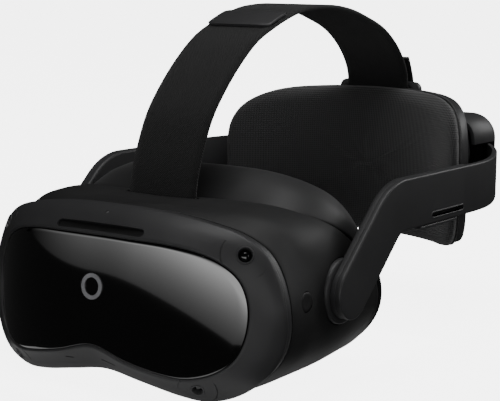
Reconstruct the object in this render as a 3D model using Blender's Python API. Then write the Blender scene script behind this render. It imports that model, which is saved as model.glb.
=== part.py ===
"""A head-worn display: visor, pivoting side arms, sliding rear cradle with a battery, and a top strap.

X is the wearer's left, the visor faces -Y and Z is up. Sizes below are millimetres. The model is
drawn with its origin at the middle of the front window and is moved at the end, so that the world
origin is under the middle of its bounding box.
"""

import math

import bmesh
import bpy
from mathutils import Matrix, Vector
from mathutils.bvhtree import BVHTree

MM = 0.001
GAP = 0.3

# Visor. The outlines further down are drawn at the reference size and scaled to this one.
VISOR_WIDTH = 192.0
VISOR_HEIGHT = 93.2
REFERENCE_WIDTH = 192.0
REFERENCE_HEIGHT = 93.2
WINDOW_THICK = 2.0
WINDOW_HALF = 81.0
WINDOW_CURVE = 21.0
WINDOW_LEAN = 5.0
WINDOW_LEAN_START = -20.0
WINDOW_TOP = 32.5
WALL = 2.6
TRIM_WIDTH = 4.6
OUTLINE_STEPS = 2

# Tracking cameras and small parts of the visor.
CAMERA_COVER_R = 11.7
CAMERA_LENS_R = 3.3
UPPER_CAMERA = (80.0, 19.0, 30.2)
LOWER_CAMERA = (59.0, 9.0, -38.8)
POWER_BUTTON_R = 5.0
POWER_BUTTON_Y = 52.0
POWER_BUTTON_Z = 2.6
VOLUME_BUTTON = (9.0, 4.2)
EMBLEM_Z = 7.2
GRILLE_HALF = 28.0
GRILLE_HEIGHT = 4.6
WHEEL = (48.0, 63.0, -35.2)
WHEEL_R = 9.4
PORT = (-61.5, 65.6)

# Optics.
LENS_SPACING = 64.0
LENS_TRAVEL = 3.5
LENS_R = 21.0
BARREL_R = 23.5
DISPLAY_SIZE = 47.0

# Pivot and arm.
PIVOT_Y = 87.0
PIVOT_Z = 2.0
PIVOT_BASE_R = 17.0
PIVOT_PIN_R = 3.5
ARM_HEIGHT = 28.0
ARM_SHELL = 3.0
ARM_THICK = 7.0
ARM_INSIDE = VISOR_WIDTH / 2 - 3.0
ARM_SPREAD = ARM_INSIDE + ARM_THICK
ARM_RISE = 38.5
ARM_SLOPE = math.radians(42.5)
ARM_BEND_R = 27.0
ARM_STRAIGHT_END = 212.0

# Rear cradle.
PAD_CLEARANCE = 11.0
PAD_HALF = ARM_INSIDE - PAD_CLEARANCE
PAD_TOP = 89.5
PAD_BOTTOM = -1.5
PAD_R = PAD_HALF * 105 / 82
PAD_REAR_Y = 270.0
PAD_THICK = 9.0
CARRIER_THICK = 9.0
CARRIER_DROP = 4.5
HOUSING_STEP_IN = 20.0
HOUSING_HALF = PAD_HALF - HOUSING_STEP_IN
HOUSING_FRONT = 293.0
HOUSING_REAR = 330.0
HOUSING_TOP = 73.0
HOUSING_BOTTOM = 9.0
HOUSING_WALL = 2.5
BAND_TIP_IN = 2.2
BATTERY_SIDE = 14.0
DIAL_R = 21.0
DIAL_THICK = 8.0
PINION_R = 6.0
RACK_LENGTH = HOUSING_HALF - 2.0

# Top strap.
STRAP_WIDTH = 43.5
STRAP_THICK = 2.4
STRAP_START_Y = 55.6
STRAP_START_Z = 38.6
BAR_R = 1.8
BRACKET_Y = 279.4
BRACKET_TOP = 93.5

# The arm's rear band, where it curves in from the arm's outer face to its tip inside the housing:
# the share of that way inwards, and Y.
BAND_CURVE = [
    (0.005, 224), (0.03, 236), (0.0945, 248), (0.194, 260), (0.3184, 272), (0.4925, 287),
    (0.6866, 300.5), (0.8657, 311), (1.0, 317.6),
]

# Half outlines, from the top centre round the wearer's left to the bottom centre, at the reference
# size. The window has (x, z) points and the others (x, y, z) points, and each list runs in step.
WINDOW = [
    (0, 32.5), (20.6, 32.3), (41.2, 31.6), (57.5, 28.9), (67.6, 24.6), (74.9, 18.6), (79.2, 10.5),
    (81, 0), (79.8, -12), (75.5, -22.2), (67, -29.3), (55, -32.6), (41.5, -31.7), (22, -28),
    (0, -22.6),
]
SEAM = [
    (0, 19.6, 46.8), (20, 20.2, 46.5), (40.1, 21.8, 44.8), (58.3, 23.7, 41.8), (72.2, 26.4, 37.8),
    (83.6, 30.3, 30), (90.9, 32.2, 17.9), (96, 31.5, 2), (95.5, 32, -14), (90, 29, -28),
    (78, 23.5, -39.5), (62, 20, -45.8), (46, 18, -45.6), (22, 14.5, -41), (0, 12.4, -37.6),
]
SHELL_MIDDLE = [
    (0, 42, 44.6), (20, 42, 45), (41, 42, 45.4), (61, 45, 44.6), (76, 50, 40.6), (86.5, 58, 32),
    (91, 66, 18), (92.4, 72, 2), (91.8, 74, -14), (87.5, 70, -27.5), (77.5, 62, -38.5),
    (64, 56, -44), (47, 52, -45), (23, 42, -42), (0, 36, -38.8),
]
SHELL_REAR = [
    (0, 63, 46.5), (20, 63, 46.8), (41, 64, 47), (60, 68, 46), (74, 78, 41.5), (84, 94, 33),
    (89, 110, 19), (91, 124, 2), (89.5, 129, -13), (84.5, 127, -26), (76, 120, -36),
    (66, 110, -41), (50, 94, -43), (25, 70, -41), (0, 60, -38.2),
]
CUSHION_REAR = [
    (0, 92, 60.5), (20, 93, 60.5), (41, 97, 59), (58, 104, 54.5), (70, 114, 46.5), (77, 124, 34),
    (80.5, 132, 18), (81.5, 137, 2), (79.5, 137, -13), (74.5, 133, -25), (66, 126, -33),
    (55, 117, -37), (40, 104, -37), (20, 90, -29), (0, 83, -19),
]


# Materials, colour as linear RGB.
FINISHES = {
    "satin_black": ((0.035, 0.035, 0.037), 0.45, 0.0),
    "soft_black": ((0.022, 0.022, 0.024), 0.6, 0.0),
    "gloss_black": ((0.004, 0.004, 0.005), 0.06, 0.0),
    "emblem_grey": ((0.42, 0.42, 0.44), 0.35, 0.6),
    "lens_glass": ((0.02, 0.03, 0.04), 0.05, 0.0),
    "leatherette": ((0.018, 0.018, 0.018), 0.55, 0.0),
    "mesh_fabric": ((0.014, 0.014, 0.015), 0.9, 0.0),
    "webbing": ((0.011, 0.011, 0.012), 0.9, 0.0),
    "steel": ((0.5, 0.5, 0.5), 0.3, 1.0),
    "aluminium": ((0.6, 0.6, 0.62), 0.35, 1.0),
    "board_green": ((0.01, 0.09, 0.03), 0.5, 0.0),
    "battery_black": ((0.02, 0.02, 0.022), 0.5, 0.0),
    "led_white": ((0.7, 0.7, 0.7), 0.3, 0.0),
}


def clear_scene():
    for obj in list(bpy.data.objects):
        bpy.data.objects.remove(obj, do_unlink=True)


def material(name):
    found = bpy.data.materials.get(name)
    if found:
        return found
    colour, roughness, metallic = FINISHES[name]
    made = bpy.data.materials.new(name)
    made.use_nodes = True
    shader = made.node_tree.nodes["Principled BSDF"]
    shader.inputs["Base Color"].default_value = (*colour, 1.0)
    shader.inputs["Roughness"].default_value = roughness
    shader.inputs["Metallic"].default_value = metallic
    made.diffuse_color = (*colour, 1.0)
    return made


def add(name, points, faces, finish=None, origin=(0, 0, 0), smooth=True):
    """One closed mesh object. Points are millimetres in the drawing frame and origin is its pivot."""
    mesh = bpy.data.meshes.new(name)
    base = Vector(origin)
    mesh.from_pydata([(Vector(p) - base) * MM for p in points], [], faces)
    work = bmesh.new()
    work.from_mesh(mesh)
    bmesh.ops.triangulate(work, faces=[face for face in work.faces if len(face.verts) == 4])
    bmesh.ops.recalc_face_normals(work, faces=work.faces)
    work.to_mesh(mesh)
    work.free()
    obj = bpy.data.objects.new(name, mesh)
    obj.location = base * MM
    bpy.context.scene.collection.objects.link(obj)
    if smooth:
        mesh.shade_smooth()
        mesh.set_sharp_from_angle(angle=math.radians(35))
    if finish:
        mesh.materials.append(material(finish))
    return obj


def as_cutter(obj):
    obj.hide_render = True
    obj.display_type = "WIRE"
    return obj


def boolean(obj, other, operation="DIFFERENCE"):
    modifier = obj.modifiers.new(operation.title() + str(len(obj.modifiers)), "BOOLEAN")
    modifier.operation = operation
    modifier.solver = "EXACT"
    modifier.object = other


# Outlines

def curve_through(points, steps, closed):
    """A Catmull-Rom curve through the points, with this many steps in each span."""
    points = [Vector(p) for p in points]
    count = len(points)
    spans = count if closed else count - 1
    made = []
    for index in range(spans):
        if closed:
            a, b, c, d = (points[(index + k) % count] for k in (-1, 0, 1, 2))
        else:
            a, b, c, d = (points[min(max(index + k, 0), count - 1)] for k in (-1, 0, 1, 2))
        for step in range(steps):
            t = step / steps
            made.append(
                0.5 * ((2 * b) + (c - a) * t + (2 * a - 5 * b + 4 * c - d) * t * t
                       + (3 * b - a - 3 * c + d) * t * t * t)
            )
    if not closed:
        made.append(points[-1])
    return made


def across(x):
    """A reference distance from the middle plane, at this visor's width."""
    return x * VISOR_WIDTH / REFERENCE_WIDTH


def up(z):
    """A reference height in the visor, at this visor's height."""
    return z * VISOR_HEIGHT / REFERENCE_HEIGHT


def whole(half):
    """A full loop from a half outline: the wearer's left half, then its mirror image."""
    scaled = [(across(p[0]), p[1], up(p[2])) for p in half]
    mirrored = [(-p[0], p[1], p[2]) for p in reversed(scaled[1:-1])]
    return curve_through(scaled + mirrored, OUTLINE_STEPS, closed=True)


def window_y(x, z):
    """The window's front surface: it wraps back at both sides and leans back towards its top."""
    wrap = WINDOW_CURVE * abs(x / across(WINDOW_HALF)) ** 3
    rise = max(0.0, z - up(WINDOW_LEAN_START)) / up(WINDOW_TOP - WINDOW_LEAN_START)
    return -1.0 + wrap + WINDOW_LEAN * rise ** 2


def inset(ring, amount, shift=0.0):
    """The ring moved inward in the XZ plane by amount, outward if negative, and shifted in Y."""
    count = len(ring)
    area = sum(p.x * q.z - q.x * p.z for p, q in zip(ring, ring[1:] + ring[:1]))
    sense = math.copysign(1, area)
    made = []
    for index in range(count):
        along = ring[(index + 1) % count] - ring[index - 1]
        inward = Vector((-along.z * sense, 0, along.x * sense)).normalized()
        made.append(ring[index] + inward * amount + Vector((0, shift, 0)))
    return made


def mix(first, second, share, bulge=0.0):
    """A ring between two others, pushed outward by bulge."""
    between = [a.lerp(b, share) for a, b in zip(first, second)]
    return inset(between, -bulge)


def loft(name, rings, finish, ends="loop", origin=(0, 0, 0)):
    """A closed body through rings. Ends is loop for a tube that closes on itself, fan for caps with a
    middle point, or flat for caps of one face each."""
    count = len(rings[0])
    points = [p for ring in rings for p in ring]
    faces = []
    spans = len(rings) if ends == "loop" else len(rings) - 1
    for row in range(spans):
        low = row * count
        high = ((row + 1) % len(rings)) * count
        for index in range(count):
            after = (index + 1) % count
            faces.append((low + index, low + after, high + after, high + index))
    if ends == "fan":
        for row in (0, len(rings) - 1):
            middle = sum(rings[row], Vector()) / count
            points.append(middle)
            centre = len(points) - 1
            for index in range(count):
                faces.append((row * count + index, row * count + (index + 1) % count, centre))
    if ends == "flat":
        faces += [tuple(range(count)), tuple(range(len(points) - count, len(points)))]
    return add(name, points, faces, finish, origin)


def slab(name, outline, front, back, finish, edge=1.0, shares=(0.72, 0.4), origin=(0, 0, 0)):
    """A plate over an XZ outline between two Y surfaces given as functions of (x, z)."""
    middle = sum(outline, Vector()) / len(outline)

    def ring(share, surface, pull, push):
        moved = inset(outline, pull) if pull else outline
        made = []
        for point in moved:
            x = middle.x + (point.x - middle.x) * share
            z = middle.z + (point.z - middle.z) * share
            made.append(Vector((x, surface(x, z) + push, z)))
        return made

    rings = [ring(share, front, edge, 0) for share in reversed(shares)]
    rings += [ring(1, front, edge, 0), ring(1, front, 0, edge)]
    rings += [ring(1, back, 0, -edge), ring(1, back, edge, 0)]
    rings += [ring(share, back, edge, 0) for share in shares]
    made = loft(name, rings, finish, "fan", origin)
    count = len(outline)
    for surface, vertex in ((front, -2), (back, -1)):
        centre = made.data.vertices[len(rings) * count + (0 if vertex == -2 else 1)]
        centre.co.y = (surface(middle.x, middle.z) - origin[1]) * MM
    return made


def rounded_outline(half_width, bottom, top, radii, steps=4, x=0.0):
    """A rectangle in XZ with its corners rounded: radii are upper and lower. Starts at the top."""
    upper, lower = radii
    made = []
    corners = [
        (half_width - upper, top - upper, upper, 90),
        (half_width - lower, bottom + lower, lower, 0),
        (-half_width + lower, bottom + lower, lower, -90),
        (-half_width + upper, top - upper, upper, -180),
    ]
    for cx, cz, radius, start in corners:
        for step in range(steps + 1):
            angle = math.radians(start - 90 * step / steps)
            made.append(Vector((x + cx + radius * math.cos(angle), 0, cz + radius * math.sin(angle))))
    return made


# Solids of revolution, boxes and sweeps

AXES = {
    "x": Matrix(((0, 0, 1), (1, 0, 0), (0, 1, 0))),
    "y": Matrix(((1, 0, 0), (0, 0, 1), (0, -1, 0))),
    "z": Matrix.Identity(3),
}


def facing(normal):
    return Vector((0, 0, 1)).rotation_difference(Vector(normal)).to_matrix()


def turned(name, centre, axis, profile, finish=None, segments=24, ring=False):
    """A solid of revolution. Profile is (radius, height) along the axis; a ring never meets it."""
    turn = AXES[axis] if isinstance(axis, str) else facing(axis)
    centre = Vector(centre)
    points, faces, rows = [], [], []
    for radius, height in profile:
        if radius == 0:
            rows.append([len(points)])
            points.append(centre + turn @ Vector((0, 0, height)))
            continue
        rows.append(list(range(len(points), len(points) + segments)))
        for index in range(segments):
            angle = 2 * math.pi * index / segments
            local = Vector((radius * math.cos(angle), radius * math.sin(angle), height))
            points.append(centre + turn @ local)
    pairs = list(zip(rows, rows[1:]))
    if ring:
        pairs.append((rows[-1], rows[0]))
    for low, high in pairs:
        for index in range(segments):
            after = (index + 1) % segments
            corners = [low[index % len(low)], low[after % len(low)],
                       high[after % len(high)], high[index % len(high)]]
            faces.append(tuple(dict.fromkeys(corners)))
    return add(name, points, faces, finish, centre)


def disc(name, centre, axis, radius, low, high, finish=None, edge=0.4, segments=24):
    profile = [(0, low), (radius, low), (radius, high), (0, high)]
    if edge:
        profile[1:3] = [(radius - edge, low), (radius, low + edge), (radius, high - edge),
                        (radius - edge, high)]
    return turned(name, centre, axis, profile, finish, segments)


def tube(name, centre, axis, outer, inner, low, high, finish, segments=24):
    profile = [(inner, low), (outer, low), (outer, high), (inner, high)]
    return turned(name, centre, axis, profile, finish, segments, ring=True)


def box(name, low, high, finish=None, round_by=0.8, origin=None):
    low, high = Vector(low), Vector(high)
    corners = [(x, y, z) for x in (low.x, high.x) for y in (low.y, high.y) for z in (low.z, high.z)]
    faces = [(0, 1, 3, 2), (4, 6, 7, 5), (0, 4, 5, 1), (2, 3, 7, 6), (0, 2, 6, 4), (1, 5, 7, 3)]
    middle = (low + high) / 2 if origin is None else origin
    made = add(name, corners, faces, finish, middle)
    if round_by:
        modifier = made.modifiers.new("Bevel", "BEVEL")
        modifier.width = min(round_by, min(high - low) * 0.45) * MM
        modifier.segments = 2
        modifier.limit_method = "NONE"
    return made


def stadium(name, centre, normal, length, height, depth, finish=None, segments=6):
    """A long slot with round ends: its length runs along X, and depth along the normal."""
    normal = Vector(normal).normalized()
    along = Vector((1, 0, 0)) if abs(normal.x) < 0.9 else Vector((0, 1, 0))
    up = normal.cross(along).normalized()
    radius = height / 2
    outline = []
    for side in (1, -1):
        for step in range(segments + 1):
            angle = math.pi * step / segments - math.pi / 2
            outline.append((side * (length / 2 - radius + radius * math.cos(angle)),
                            side * radius * math.sin(angle)))
    rings = []
    for share in (-0.5, 0.5):
        rings.append([Vector(centre) + along * a + up * b + normal * depth * share
                      for a, b in outline])
    return loft(name, rings, finish, "fan", centre)


def sweep(name, path, thick, finish, heights=None, corner=1.2, centre_shift=0.0, origin=None):
    """A flat bar along a path: heights across it, thick along its outward normal."""
    rings = []
    count = len(path)
    for index, point in enumerate(path):
        along = (path[min(index + 1, count - 1)] - path[max(index - 1, 0)]).normalized()
        plan = Vector((along.x, along.y, 0)).normalized()
        out = Vector((plan.y, -plan.x, 0))
        if point.x < 0:
            out = -out
        up = out.cross(along).normalized()
        if up.z < 0:
            up = -up
        half = heights[index] / 2
        flat = min(corner, half * 0.6)
        inner, outer = centre_shift - thick, centre_shift
        section = [(inner, -half + flat), (inner + flat, -half), (outer - flat, -half),
                   (outer, -half + flat), (outer, half - flat), (outer - flat, half),
                   (inner + flat, half), (inner, half - flat)]
        rings.append([point + out * a + up * b for a, b in section])
    return loft(name, rings, finish, "fan", origin or path[0])


def surface_x(obj, y, z, side):
    """The outermost X of an object at (y, z) on one side, so that small parts sit on its skin."""
    bpy.context.view_layer.update()
    tree = BVHTree.FromObject(obj, bpy.context.evaluated_depsgraph_get())
    start = Vector((side * 1.0, (y * MM), z * MM)) - obj.location
    hit = tree.ray_cast(start, Vector((-side, 0, 0)))[0]
    return (hit.x + obj.location.x) / MM


def surface_point(obj, near):
    bpy.context.view_layer.update()
    tree = BVHTree.FromObject(obj, bpy.context.evaluated_depsgraph_get())
    place, normal = tree.find_nearest(Vector(near) * MM - obj.location)[:2]
    return (place + obj.location) / MM, normal


# Visor

def window_outline():
    flat = whole([(x, 0, z) for x, z in WINDOW])
    return [Vector((p.x, window_y(p.x, p.z), p.z)) for p in flat]


def front_window(outline):
    return slab("front_window", inset(outline, GAP),
                window_y,
                lambda x, z: window_y(x, z) + WINDOW_THICK,
                "gloss_black", edge=0.5, shares=(0.8, 0.45))


def front_bezel(outline, seam):
    lip = inset(outline, -2.2, 0.2)
    ledge = WINDOW_THICK + GAP
    middle = mix(lip, seam, 0.5, 2.2)
    late = mix(lip, seam, 0.82, 1.6)
    rings = [
        inset(outline, 0, 0.9), lip, middle, late, seam, inset(seam, 0.8, 1.0),
        inset(seam, WALL + 0.8, 1.0), inset(middle, WALL, 1.6), inset(outline, 2.5, 7.5),
        inset(outline, 4.0, 6.0), inset(outline, 4.0, ledge), inset(outline, 0, ledge),
    ]
    return loft("front_bezel", rings, "satin_black")


def camera_set(bezel, cutters):
    """Each tracking camera is a flush cover cut out of the bezel's own skin, and a lens in it."""
    for level, spot in (("upper", UPPER_CAMERA), ("lower", LOWER_CAMERA)):
        for side, hand in ((1, "left"), (-1, "right")):
            near = (side * across(spot[0]), spot[1], up(spot[2]))
            place, normal = surface_point(bezel, near)
            cutters.append((level, hand, place, normal))
    for level, hand, place, normal in cutters:
        cover_r = CAMERA_COVER_R if level == "upper" else 0.55 * CAMERA_COVER_R
        cover = add("camera_cover_" + level + "_" + hand,
                    [v.co / MM for v in bezel.data.vertices],
                    [tuple(f.vertices) for f in bezel.data.polygons], "satin_black")
        punch = as_cutter(disc("punch_" + level + "_" + hand, place, normal, cover_r, -7, 6, edge=0))
        hole = as_cutter(disc("lens_hole_" + level + "_" + hand, place, normal,
                              CAMERA_LENS_R + 1.4 + GAP, -12, 6, edge=0))
        boolean(cover, punch, "INTERSECT")
        boolean(cover, hole)
        outer = as_cutter(disc("pocket_" + level + "_" + hand, place, normal, cover_r + GAP, -7, 6,
                               edge=0))
        boolean(bezel, outer)
        rim = CAMERA_LENS_R + 1.4
        profile = [(0, -3), (rim, -3), (rim, -0.6), (rim - 0.5, -0.3), (CAMERA_LENS_R, -1.0),
                   (CAMERA_LENS_R * 0.6, -0.3), (0, 0)]
        turned("camera_lens_" + level + "_" + hand, place, normal, profile, "lens_glass", 20)


def trim_ring(seam):
    start = inset(seam, 1.4, 1.0 + GAP)
    end = inset(seam, 1.8, 1.0 + TRIM_WIDTH)
    rings = [start, end, inset(end, 2.0), inset(start, 2.0)]
    return loft("trim_ring", rings, "satin_black")


def shell_rings(seam):
    start = inset(seam, 1.4, 1.0 + TRIM_WIDTH + GAP)
    middle = whole(SHELL_MIDDLE)
    rear = whole(SHELL_REAR)
    quarter = mix(start, middle, 0.5, 0.4)
    late = mix(middle, rear, 0.5, 0.6)
    return start, quarter, middle, late, rear


def shell_housing(seam):
    outer = shell_rings(seam)
    tip = [inset(outer[-1], 0.9, 0.9)]
    inner = [inset(ring, WALL) for ring in reversed(outer)]
    return loft("shell_housing", list(outer) + tip + inner, "soft_black")


def optics():
    for side, hand in ((1, "left"), (-1, "right")):
        centre = (side * LENS_SPACING / 2, 44, 0)
        tube("lens_barrel_" + hand, centre, "y", BARREL_R, BARREL_R - 1.6, 0, 27, "soft_black", 32)
        disc("eyepiece_lens_" + hand, (centre[0], 64, 0), "y", LENS_R, 0, 4.5, "lens_glass",
             edge=1.6, segments=32)
        half = DISPLAY_SIZE / 2
        box("display_panel_" + hand, (centre[0] - half, 40, -half), (centre[0] + half, 43.4, half),
            "lens_glass", 0.5)


def lens_plate():
    """The wall behind the lens barrels, with a slot for each barrel's travel."""
    outline = inset(whole(SHELL_MIDDLE), WALL + across(2.0))
    plate = slab("lens_plate", outline, lambda x, z: 47.5, lambda x, z: 50.0, "soft_black",
                 edge=0.3, shares=(0.6,))
    for side, hand in ((1, "left"), (-1, "right")):
        length = 2 * (BARREL_R + LENS_TRAVEL + 0.8)
        hole = stadium("barrel_slot_" + hand, (side * LENS_SPACING / 2, 49, 0), (0, 1, 0), length,
                       2 * (BARREL_R + 0.6), 20, segments=8)
        boolean(plate, as_cutter(hole))
    return plate


def electronics():
    box("main_board", (across(-55), 30, up(-24)), (across(55), 31.6, up(30)), "board_green", 0)
    comb = [(-40, 29.4), (-40, 20)]
    for index in range(10):
        left = -40 + index * 8.0 + 2.0
        comb += [(left, 20), (left, 27), (left + 4.0, 27), (left + 4.0, 20)]
    comb += [(40, 20), (40, 29.4)]
    loft("heat_sink", [[Vector((x, y, z)) for x, y in comb] for z in (-16, 14)], "aluminium", "flat")
    blades = []
    for index in range(48):
        radius = 13.0 if index % 4 < 2 else 9.0
        angle = 2 * math.pi * index / 48
        blades.append((radius * math.cos(angle), radius * math.sin(angle)))
    fan_z = up(24.0)
    loft("cooling_fan", [[Vector((x, y, z + fan_z)) for x, z in blades] for y in (33, 38)],
         "soft_black", "fan", (0, 35.5, fan_z))


def face_parts():
    rear = whole(SHELL_REAR)
    outer = inset(rear, WALL + 0.7)
    inner = inset(rear, WALL + 3.2)
    shift = [Vector((0, amount, 0)) for amount in (-3.0, 3.0)]
    rings = [[p + shift[0] for p in outer], [p + shift[1] for p in outer],
             [p + shift[1] for p in inner], [p + shift[0] for p in inner]]
    loft("gasket_frame", rings, "soft_black")
    front = inset(rear, 1.2, 4.0)
    back = whole(CUSHION_REAR)
    rings = [
        inset(front, 2.0), front, mix(front, back, 0.55, 2.0), inset(back, 0, -2.0),
        inset(back, 3.0, 0.5), inset(back, 11.0, 1.0), inset(back, 14.0, -3.0),
        mix(inset(front, 11.0), inset(back, 14.0), 0.4), inset(front, 9.0),
    ]
    loft("face_cushion", rings, "leatherette")


def strap_mount(shell):
    middle = STRAP_START_Y + STRAP_THICK / 2
    slot = stadium("strap_slot", (0, middle, up(46)), (0, 0, 1), STRAP_WIDTH + 4.0, STRAP_THICK + 2.0, 22)
    boolean(shell, as_cutter(slot))
    turned("strap_bar_front", (0, middle, up(STRAP_START_Z) - 1.1 - BAR_R), "x",
           [(0, -STRAP_WIDTH / 2 - 4), (BAR_R, -STRAP_WIDTH / 2 - 4),
            (BAR_R, STRAP_WIDTH / 2 + 4), (0, STRAP_WIDTH / 2 + 4)], "steel", 12)


def side_controls(shell):
    """The round power button on the wearer's left, and two volume keys on the right."""
    x = surface_x(shell, POWER_BUTTON_Y, POWER_BUTTON_Z, 1)
    place = (x, POWER_BUTTON_Y, POWER_BUTTON_Z)
    button = disc("power_button", place, "x", POWER_BUTTON_R, -3.6, 0.1, "soft_black", edge=0.5)
    well = disc("button_well", place, "x", POWER_BUTTON_R + GAP, -8, 6, edge=0)
    boolean(shell, as_cutter(well))
    length, height = VOLUME_BUTTON
    for sign, word in ((1, "up"), (-1, "down")):
        z = POWER_BUTTON_Z + sign * 5.5
        x = surface_x(shell, POWER_BUTTON_Y, z, -1)
        place = Vector((x, POWER_BUTTON_Y, z))
        low = place + Vector((-0.1, -length / 2, -height / 2))
        high = place + Vector((3.4, length / 2, height / 2))
        box("volume_" + word, low, high, "soft_black", 0.5)
        margin = Vector((0, GAP, GAP))
        well = box("volume_well_" + word, low - margin - Vector((6, 0, 0)),
                   high + margin + Vector((6, 0, 0)), None, 0)
        boolean(shell, as_cutter(well))
    return button


def underside(shell):
    """The lens spacing wheel and the data port, both reached from below."""
    x, y, z = across(WHEEL[0]), WHEEL[1], up(WHEEL[2])
    tube("spacing_wheel", (x, y, z), "x", WHEEL_R, 2.2, -3, 3, "satin_black", 24)
    disc("spacing_axle", (x, y, z), "x", 1.9, -8, 8, "steel", edge=0.2, segments=16)
    along = WHEEL_R + 1.3
    slot = box("wheel_slot", (x - 3.7, y - along, z - 25), (x + 3.7, y + along, z - 1.8), None, 0)
    boolean(shell, as_cutter(slot))
    x, y = across(PORT[0]), PORT[1]
    roof = up(-34)
    box("data_port", (x - 4.5, y - 1.6, up(-41.5)), (x + 4.5, y + 1.6, roof), "steel", 0.6)
    slot = box("port_slot", (x - 4.9, y - 2, up(-60)), (x + 4.9, y + 2, roof - 3), None, 0)
    boolean(shell, as_cutter(slot))


def pivots(shell):
    """The base disc on each side of the visor and the pin through it."""
    skin = min(surface_x(shell, PIVOT_Y + dy, PIVOT_Z + dz, 1)
               for dy in (-12, 0, 12) for dz in (-12, 0, 12))
    seat = skin - 0.6
    for side, hand in ((1, "left"), (-1, "right")):
        centre = (side * seat, PIVOT_Y, PIVOT_Z)
        axis = (side, 0, 0)
        top = ARM_SPREAD - ARM_THICK + 1.2 - seat - GAP
        profile = [(PIVOT_PIN_R + GAP, GAP), (PIVOT_BASE_R - 0.4, GAP), (PIVOT_BASE_R, GAP + 0.4),
                   (PIVOT_BASE_R, top - 0.9), (PIVOT_BASE_R - 0.9, top), (PIVOT_PIN_R + GAP, top)]
        turned("pivot_base_" + hand, centre, axis, profile, "satin_black", 32, ring=True)
        bore_r, pocket_r = PIVOT_PIN_R + GAP, PIVOT_BASE_R + 0.5
        pocket = turned("pivot_pocket_" + hand, centre, axis,
                        [(0, -12), (bore_r, -12), (bore_r, 0), (pocket_r, 0), (pocket_r, 12), (0, 12)],
                        segments=32)
        boolean(shell, as_cutter(pocket))
        reach = ARM_SPREAD - ARM_SHELL - GAP - 0.3 - seat
        pin = [(0, -5.4), (PIVOT_PIN_R + 2.4, -5.4), (PIVOT_PIN_R + 2.4, -3.4),
               (PIVOT_PIN_R, -3.4), (PIVOT_PIN_R, reach), (0, reach)]
        turned("pivot_pin_" + hand, centre, axis, pin, "steel", 20)
    return seat


# Arms

def arm_path(side, end_at):
    """Centre line of the arm's outer face, from inside its round end to the tip, and its heights."""
    radius = ARM_HEIGHT / 2
    rise = Vector((0, math.cos(ARM_SLOPE), math.sin(ARM_SLOPE)))
    start = Vector((side * ARM_SPREAD, PIVOT_Y, PIVOT_Z))
    path, heights = [], []
    for angle in (84, 66, 48, 30, 12):
        turn = math.radians(angle)
        path.append(start - rise * radius * math.sin(turn))
        heights.append(2 * radius * math.cos(turn))
    corner = start + rise * (ARM_RISE / math.sin(ARM_SLOPE))
    back = ARM_BEND_R * math.tan(ARM_SLOPE / 2)
    bend_start = corner - rise * back
    path += [start, start.lerp(bend_start, 0.5)]
    centre = bend_start + Vector((0, math.sin(ARM_SLOPE), -math.cos(ARM_SLOPE))) * ARM_BEND_R
    for step in range(6):
        angle = math.pi / 2 + ARM_SLOPE * (1 - step / 5)
        offset = Vector((0, math.cos(angle), math.sin(angle))) * ARM_BEND_R
        path.append(centre + offset)
    level = PIVOT_Z + ARM_RISE
    path += [Vector((side * ARM_SPREAD, y, level)) for y in (160, 185, ARM_STRAIGHT_END)]
    if end_at == "tip":
        tip_in = ARM_SPREAD - (HOUSING_HALF - BAND_TIP_IN)
        for share, y in BAND_CURVE:
            path.append(Vector((side * (ARM_SPREAD - share * tip_in), y, level)))
    heights += [ARM_HEIGHT] * (len(path) - len(heights))
    return path, heights


def arms():
    for side, hand in ((1, "left"), (-1, "right")):
        origin = (side * ARM_SPREAD, PIVOT_Y, PIVOT_Z)
        path, heights = arm_path(side, "tip")
        shell = sweep("arm_" + hand, path, ARM_SHELL, "satin_black", heights, 0.9, 0, origin)
        vent = stadium("arm_slot_cut_" + hand, (side * ARM_SPREAD, 186, PIVOT_Z + 29.3), (side, 0, 0),
                       37, 2.4, 12)
        boolean(shell, as_cutter(vent))
        path, heights = arm_path(side, "pod")
        path[-1].y -= 1.0
        cover = sweep("arm_cover_" + hand, path, ARM_THICK - ARM_SHELL - GAP, "satin_black",
                      heights, 0.9, -ARM_SHELL - GAP, origin)
        step = disc("arm_step_" + hand, (side * (ARM_SPREAD - ARM_THICK), PIVOT_Y, PIVOT_Z),
                    (side, 0, 0), PIVOT_BASE_R + 1.0, -4, 1.2, edge=0, segments=32)
        boolean(cover, as_cutter(step))
        bore = disc("arm_bore_" + hand, origin, (side, 0, 0), PIVOT_PIN_R + GAP, -14, 6, edge=0)
        boolean(cover, as_cutter(bore))
        skin = ARM_SPREAD - ARM_SHELL - GAP
        floor = skin - 2.6
        level = PIVOT_Z + 31
        pocket = box("speaker_pocket_" + hand, *ordered(side, floor, skin + 4, 164, 208, level - 6, level + 6),
                     None, 0)
        boolean(cover, as_cutter(pocket))
        box("speaker_" + hand, *ordered(side, floor + GAP, skin - 0.8, 165, 207, level - 5, level + 5),
            "soft_black", 0.5)
        box("sound_lip_" + hand, *ordered(side, ARM_SPREAD - ARM_THICK + 0.4, ARM_SPREAD - 0.8, 157, 198,
                                          PIVOT_Z + ARM_RISE - ARM_HEIGHT / 2 - 2.1,
                                          PIVOT_Z + ARM_RISE - ARM_HEIGHT / 2 - GAP),
            "satin_black", 0.7)


def ordered(side, x_in, x_out, y_low, y_high, z_low, z_high):
    """Two corners of a box on one side of the head, given by distances from the middle plane."""
    low, high = sorted((side * x_in, side * x_out))
    return (low, y_low, z_low), (high, y_high, z_high)


# Rear cradle

def pad_front(x, z):
    return PAD_REAR_Y - PAD_R + math.sqrt(PAD_R ** 2 - min(abs(x), PAD_HALF + 4) ** 2)


def pad_back(x, z):
    return pad_front(x, z) + 3.5 + (PAD_THICK - 3.5) * (1 - (x / PAD_HALF) ** 2)


def carrier_front(x, z):
    return pad_back(x, z) + 2 * GAP


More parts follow.
